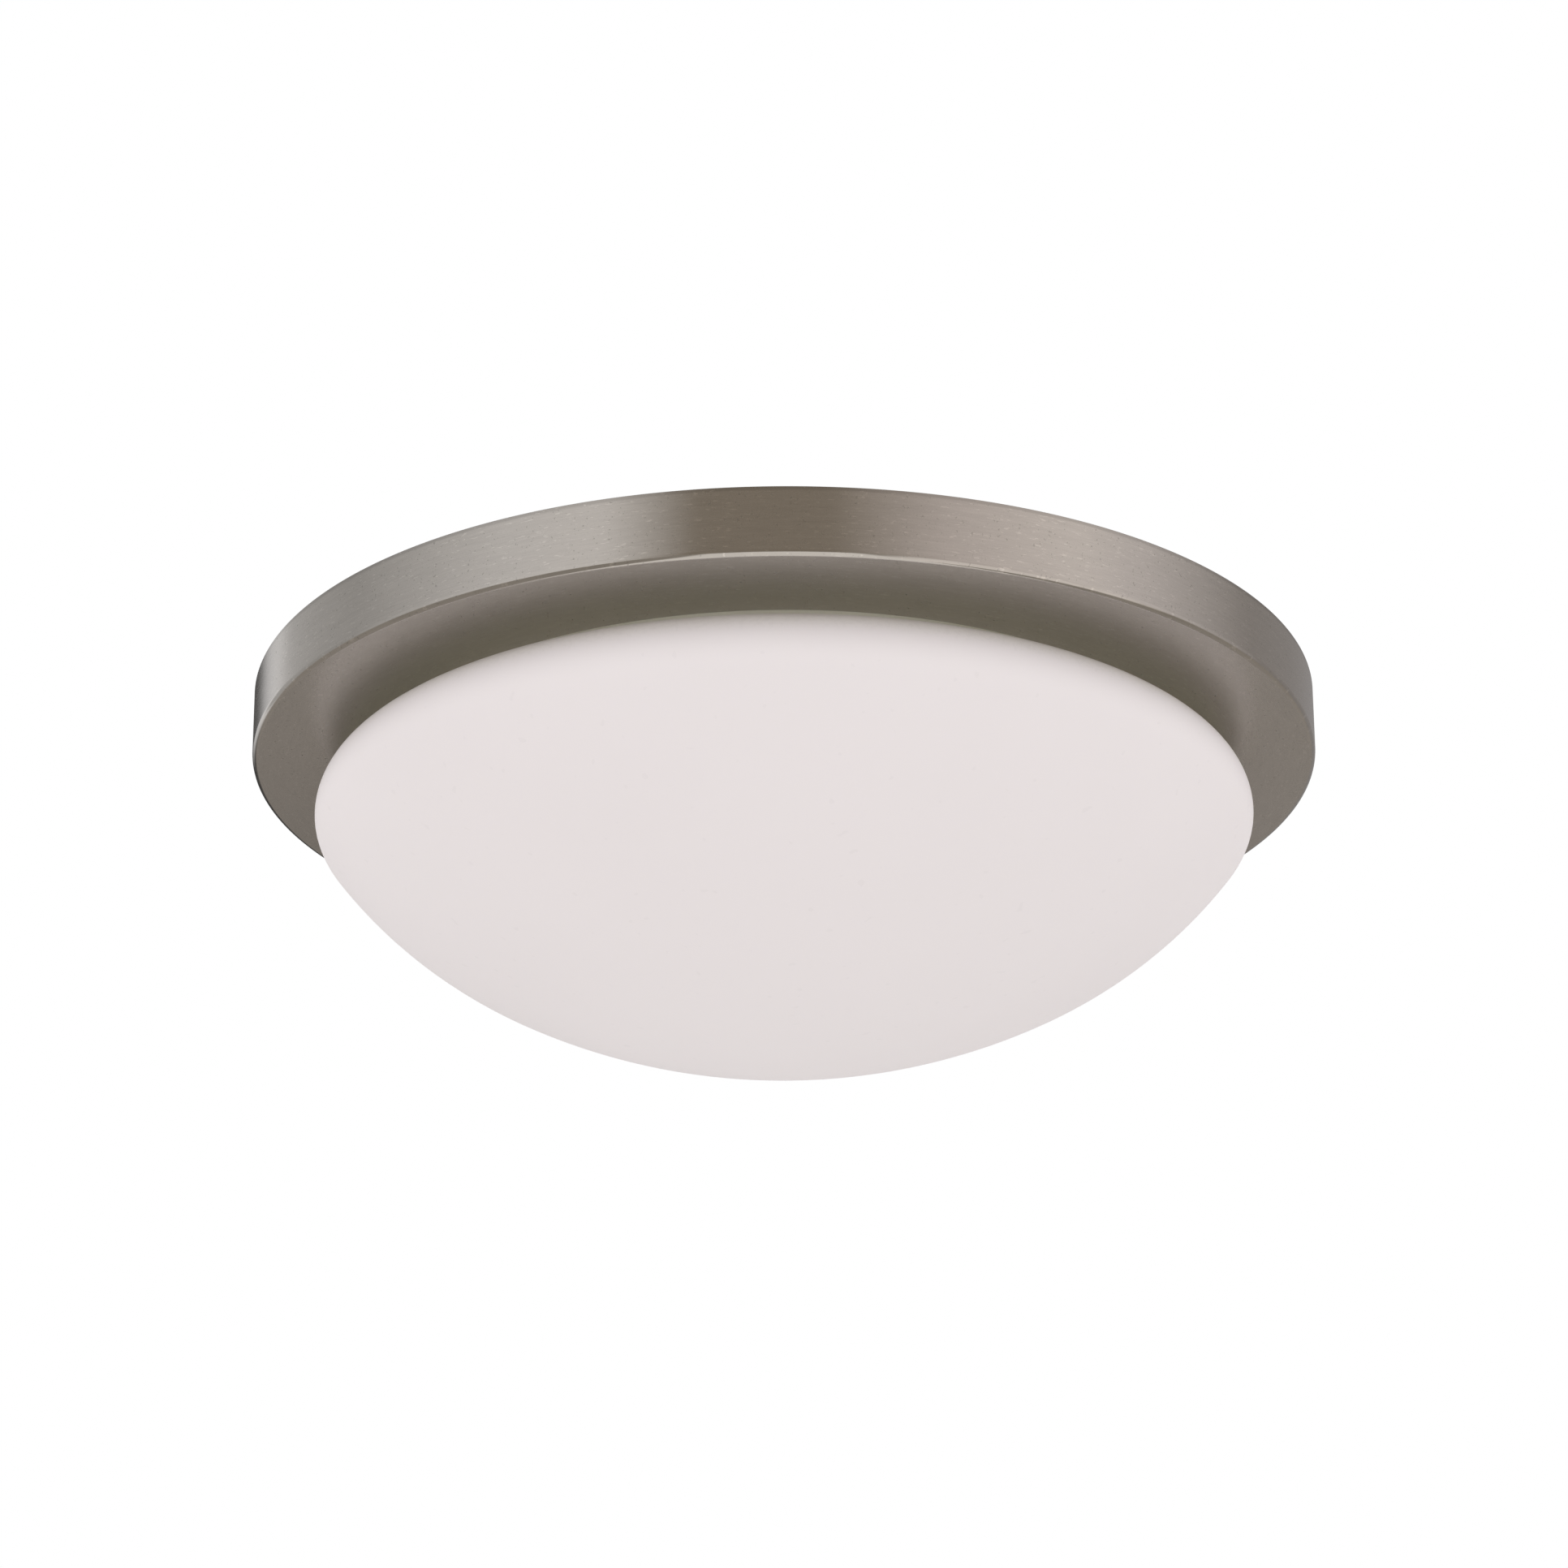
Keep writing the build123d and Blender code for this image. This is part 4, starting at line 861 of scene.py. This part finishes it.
class LIGHT_OT_lamps(bpy.types.Operator):
    """Make both bulbs with threaded bases, and the threaded shells that hold them"""

    bl_idname = "ceiling_light.lamps"
    bl_label = "Lamps"

    def execute(self, context):
        sizes = context.scene.lamp_sizes
        for name, side in (("a", 1), ("b", -1)):
            place = lamp_place(sizes, side)
            self.bulb(sizes, name, place)
            self.base(sizes, name, place)
            self.shell(sizes, name, place)
        return {"FINISHED"}

    def bulb(self, sizes, name, place):
        outline = np.concatenate([bulb_line(sizes, 0)[::-1], bulb_line(sizes, sizes.bulb_wall)])
        piece = turned_line(f"frosted_bulb_{name}", outline, 128, place, loop=False)
        finish_piece(piece, f"lamp_{name}", "frosted_glass", f"bulb_glass_{name}")

    def base(self, sizes, name, place):
        start = sizes.contact_place + sizes.base_start
        skirt = sizes.contact_place + sizes.skirt_start
        top = sizes.contact_place + sizes.base_height
        rows = np.linspace(start, skirt, 72)
        rise = sizes.skirt_radius - sizes.thread_radius
        ledge = sizes.contact_place + sizes.glass_tail - sizes.gap
        outer = np.concatenate([rows, [skirt + rise, skirt + 2 * rise, top]])
        swings = fade(outer, start, skirt, sizes.pitch / 2) * sizes.swing
        reach = np.repeat([sizes.thread_radius, sizes.skirt_radius,
                           sizes.bulb_neck + sizes.glue_room, sizes.base_bore],
                          [len(rows), 3, 2, 2])
        piece = thread_skin(f"screw_base_{name}", sizes,
                            np.concatenate([outer, [top, ledge, ledge, start]]), reach,
                            np.concatenate([swings, np.zeros(4)]), place)
        finish_piece(piece, f"lamp_{name}", "aluminium_shell", f"bulb_base_{name}")

    def shell(self, sizes, name, place):
        start, end = sizes.shell_floor, sizes.shell_floor + sizes.shell_height
        lead, sheet = sizes.thread_lead, sizes.shell_sheet
        inside = sizes.thread_radius + 2 * sizes.swing + sizes.gap
        rows = np.linspace(start + sheet, end, 96)
        swings = fade(rows, start + lead, end - lead, sizes.pitch / 2) * sizes.swing
        reach = np.repeat([inside + sheet, inside, sizes.shell_hole],
                          [1 + len(rows), len(rows), 2])
        piece = thread_skin(f"socket_shell_{name}", sizes,
                            np.concatenate([[start], rows, rows[::-1], [start + sheet, start]]),
                            reach, np.concatenate([[0], swings, swings[::-1], [0, 0]]), place)
        finish_piece(piece, "fixture", "aluminium_shell", f"screw_shell_{name}")


# ---- stage


# compass ways in degrees from the front towards +X, and the tone that the metal reflects there
LEVEL_TONES = [
    (-168, (0.02, 0.02, 0.02)),
    (-153, (0.03, 0.03, 0.03)),
    (-145, (0.62, 0.62, 0.63)),
    (-136, (0.88, 0.88, 0.89)),
    (-131, (0.52, 0.52, 0.52)),
    (-101, (0.41, 0.41, 0.41)),
    (-60, (0.83, 0.83, 0.84)),
    (-37, (0.92, 0.91, 0.91)),
    (-18, (0.25, 0.208, 0.158)),
    (10, (0.25, 0.208, 0.158)),
    (34, (0.70, 0.64, 0.62)),
    (62, (0.95, 0.90, 0.88)),
    (78, (0.80, 0.76, 0.76)),
    (114, (0.29, 0.27, 0.26)),
    (166, (0.26, 0.25, 0.25)),
]
LOWER_TONES = [
    (-180, (0.335, 0.308, 0.282)),
    (18, (0.30, 0.27, 0.23)),
    (30, (0.90, 0.86, 0.83)),
    (44, (1.00, 0.95, 0.92)),
    (76, (1.00, 0.95, 0.92)),
    (92, (0.30, 0.27, 0.23)),
    (180, (0.335, 0.308, 0.282)),
]
PANEL_TONE = (1.0, 0.98, 0.95, 1)
CLOTH_GLOW = 1.3
CLOTH_REACH = 3.2       # radius of the painted surround
# where its bands and its white panel end, as shares of that radius
BANDS_MEET, PANEL_TOP = (-0.42, -0.22), (-0.52, -0.34)
PANEL_SIDE, PANEL_BACK = (0.22, 0.30), (0.50, 0.70)
# soft lamps: way in degrees and watts, then reach from the axis, depth and width
SOFT_LAMPS = (("soft_left", -48.0, 2.0), ("soft_right", 52.0, 1.8))
SOFT_REACH, SOFT_DEPTH, SOFT_SIZE = 1.9, 0.9, 1.2


def sight(settings):
    """Camera frame: right, up and backwards ways, and its place.

    The camera looks along (0, cos e, sin e), with e the pitch above level, then turns about that
    way by the roll. It stands at the distance from the ceiling ring's middle, below it."""
    e, roll = settings.look_up, settings.roll
    forward = np.array([0, math.cos(e), math.sin(e)])
    level = np.array([1.0, 0, 0])
    upright = np.cross(level, forward)
    right = level * math.cos(roll) + upright * math.sin(roll)
    up = np.cross(right, forward)
    place = -settings.distance * np.array([0, math.cos(settings.below), math.sin(settings.below)])
    return right, up, -forward, place


class LIGHT_OT_stage(bpy.types.Operator):
    """Make the camera, the floor, the lamps and the painted surround that the metal reflects"""

    bl_idname = "ceiling_light.stage"
    bl_label = "Stage"

    def execute(self, context):
        settings = context.scene.stage_settings
        self.camera(context, settings)
        self.world(context, settings)
        self.floor(settings)
        self.surround()
        self.softboxes(context)
        context.scene.view_settings.view_transform = "Standard"
        return {"FINISHED"}

    def camera(self, context, settings):
        data = bpy.data.cameras.new("camera")
        data.lens = settings.lens
        data.sensor_width = 36.0
        camera = bpy.data.objects.new("camera", data)
        right, up, back, place = sight(settings)
        ways = np.stack([right, up, back, place], 1)
        camera.matrix_world = Matrix([*ways.tolist(), (0, 0, 0, 1)])
        context.scene.collection.objects.link(camera)
        context.scene.camera = camera

    def world(self, context, settings):
        """White for the camera and for reflections, and an even soft light for the rest.

        The even light is found along scattered rays alone, and isn't sampled as a lamp."""
        world = bpy.data.worlds.new("room")
        context.scene.world = world
        world.cycles.sampling_method = "NONE"
        shade = Shade(world)
        seen = [shade.node("ShaderNodeLightPath", output=ray)
                for ray in ("Is Camera Ray", "Is Glossy Ray", "Is Transmission Ray")]
        share = seen[0].maths("MAXIMUM", seen[0], seen[1].maths("MAXIMUM", seen[1], seen[2]))
        light = shade.node("ShaderNodeBackground", None,
                           {"Color": (1, 1, 1, 1), "Strength": settings.daylight})
        white = shade.node("ShaderNodeBackground", None, {"Color": (1, 1, 1, 1), "Strength": 1.0})
        both = shade.node("ShaderNodeMixShader", None, {0: share, 1: light, 2: white})
        shade.node("ShaderNodeOutputWorld", None, {"Surface": both})

    def floor(self, settings):
        """Pale round floor far below the light; the metal reflects the surround in its place."""
        reach = np.array([0.6, 1.4, 2.6, 2.6])
        drop = np.array([0, 0, 0, -0.02])
        piece = turned("floor", column(reach), column(drop - settings.floor_depth), 96, loop=False)
        piece.visible_glossy = False
        shade = new_shade("pale_floor")
        paint = shade.node("ShaderNodeBsdfDiffuse", None, {"Color": (0.86, 0.86, 0.85, 1)})
        white = shade.node("ShaderNodeEmission", None, {"Color": (1, 1, 1, 1), "Strength": 1.0})
        seen = shade.node("ShaderNodeLightPath", output="Is Camera Ray")
        both = shade.node("ShaderNodeMixShader", None, {0: seen * 0.85, 1: paint, 2: white})
        piece.data.materials.append(shade.output(both))

    def surround(self):
        """Grey cloths and pale panels about the light, seen only in reflections.

        The tone at (x, y, z) follows the compass way atan2(x, -y) / (2 pi) + 0.5 on two bands,
        one about level and above and one below it. A white panel lies under the light."""
        half = arc_line((0, 0), CLOTH_REACH, -math.pi / 2, math.pi / 2, 25)[1:-1]
        piece = turned_line("surround", half, 48, loop=False)
        for ray in ("camera", "diffuse", "transmission", "shadow"):
            setattr(piece, f"visible_{ray}", False)
        shade = new_shade("studio_cloths")
        x, y, z = shade.parts(shade.point())
        compass = x.maths("ARCTAN2", x, -y) / (2 * math.pi) + 0.5
        level, lower = (shade.node("ShaderNodeValToRGB", {
            "stops": [(way / 360 + 0.5, tone) for way, tone in tones],
        }, {"Fac": compass}) for tones in (LEVEL_TONES, LOWER_TONES))
        aside, back, height = (part / CLOTH_REACH for part in (x.maths("ABSOLUTE", x), y, z))
        panel = (1.0 - aside.between(*PANEL_SIDE)) * (1.0 - height.between(*PANEL_TOP))
        panel = panel * (1.0 - back.between(*PANEL_BACK))
        tone = shade.mix(height.between(*BANDS_MEET), lower, level)
        tone = shade.mix(panel, tone, PANEL_TONE)
        glow = shade.node("ShaderNodeEmission", None, {"Color": tone, "Strength": CLOTH_GLOW})
        piece.data.materials.append(shade.output(glow))

    def softboxes(self, context):
        """Two wide soft lamps, low in front on the left and the right."""
        for name, degrees, energy in SOFT_LAMPS:
            data = bpy.data.lights.new(name, "AREA")
            data.energy = energy
            data.shape = "DISK"
            data.size = SOFT_SIZE
            lamp = bpy.data.objects.new(name, data)
            way = math.radians(degrees)
            lamp.location = (SOFT_REACH * math.sin(way), -SOFT_REACH * math.cos(way), -SOFT_DEPTH)
            lamp.rotation_euler = (-lamp.location).to_track_quat("-Z", "Y").to_euler()
            lamp.visible_glossy = False
            context.scene.collection.objects.link(lamp)


class LIGHT_PT_panel(bpy.types.Panel):
    bl_idname = "LIGHT_PT_panel"
    bl_label = "Ceiling Light"
    bl_space_type = "VIEW_3D"
    bl_region_type = "UI"
    bl_category = "Ceiling Light"

    def draw(self, context):
        for operator in OPERATORS:
            self.layout.operator(operator.bl_idname)
        for name, group in SETTINGS.items():
            box = self.layout.box()
            box.label(text=name.replace("_", " ").capitalize())
            for key in group.__annotations__:
                box.prop(getattr(context.scene, name), key)


OPERATORS = (LIGHT_OT_finishes, LIGHT_OT_pan, LIGHT_OT_bowl, LIGHT_OT_rings, LIGHT_OT_lamps,
             LIGHT_OT_stage)


def register():
    for name, group in SETTINGS.items():
        bpy.utils.register_class(group)
        setattr(bpy.types.Scene, name, PointerProperty(type=group))
    for entry in (*OPERATORS, LIGHT_PT_panel):
        bpy.utils.register_class(entry)


def unregister():
    for entry in (LIGHT_PT_panel, *reversed(OPERATORS)):
        bpy.utils.unregister_class(entry)
    for name, group in reversed(SETTINGS.items()):
        delattr(bpy.types.Scene, name)
        bpy.utils.unregister_class(group)


def main():
    """Registers the add-on and runs its operators in order."""
    register()
    for operator in OPERATORS:
        group, action = operator.bl_idname.split(".")
        getattr(getattr(bpy.ops, group), action)()


if __name__ == "__main__":
    main()
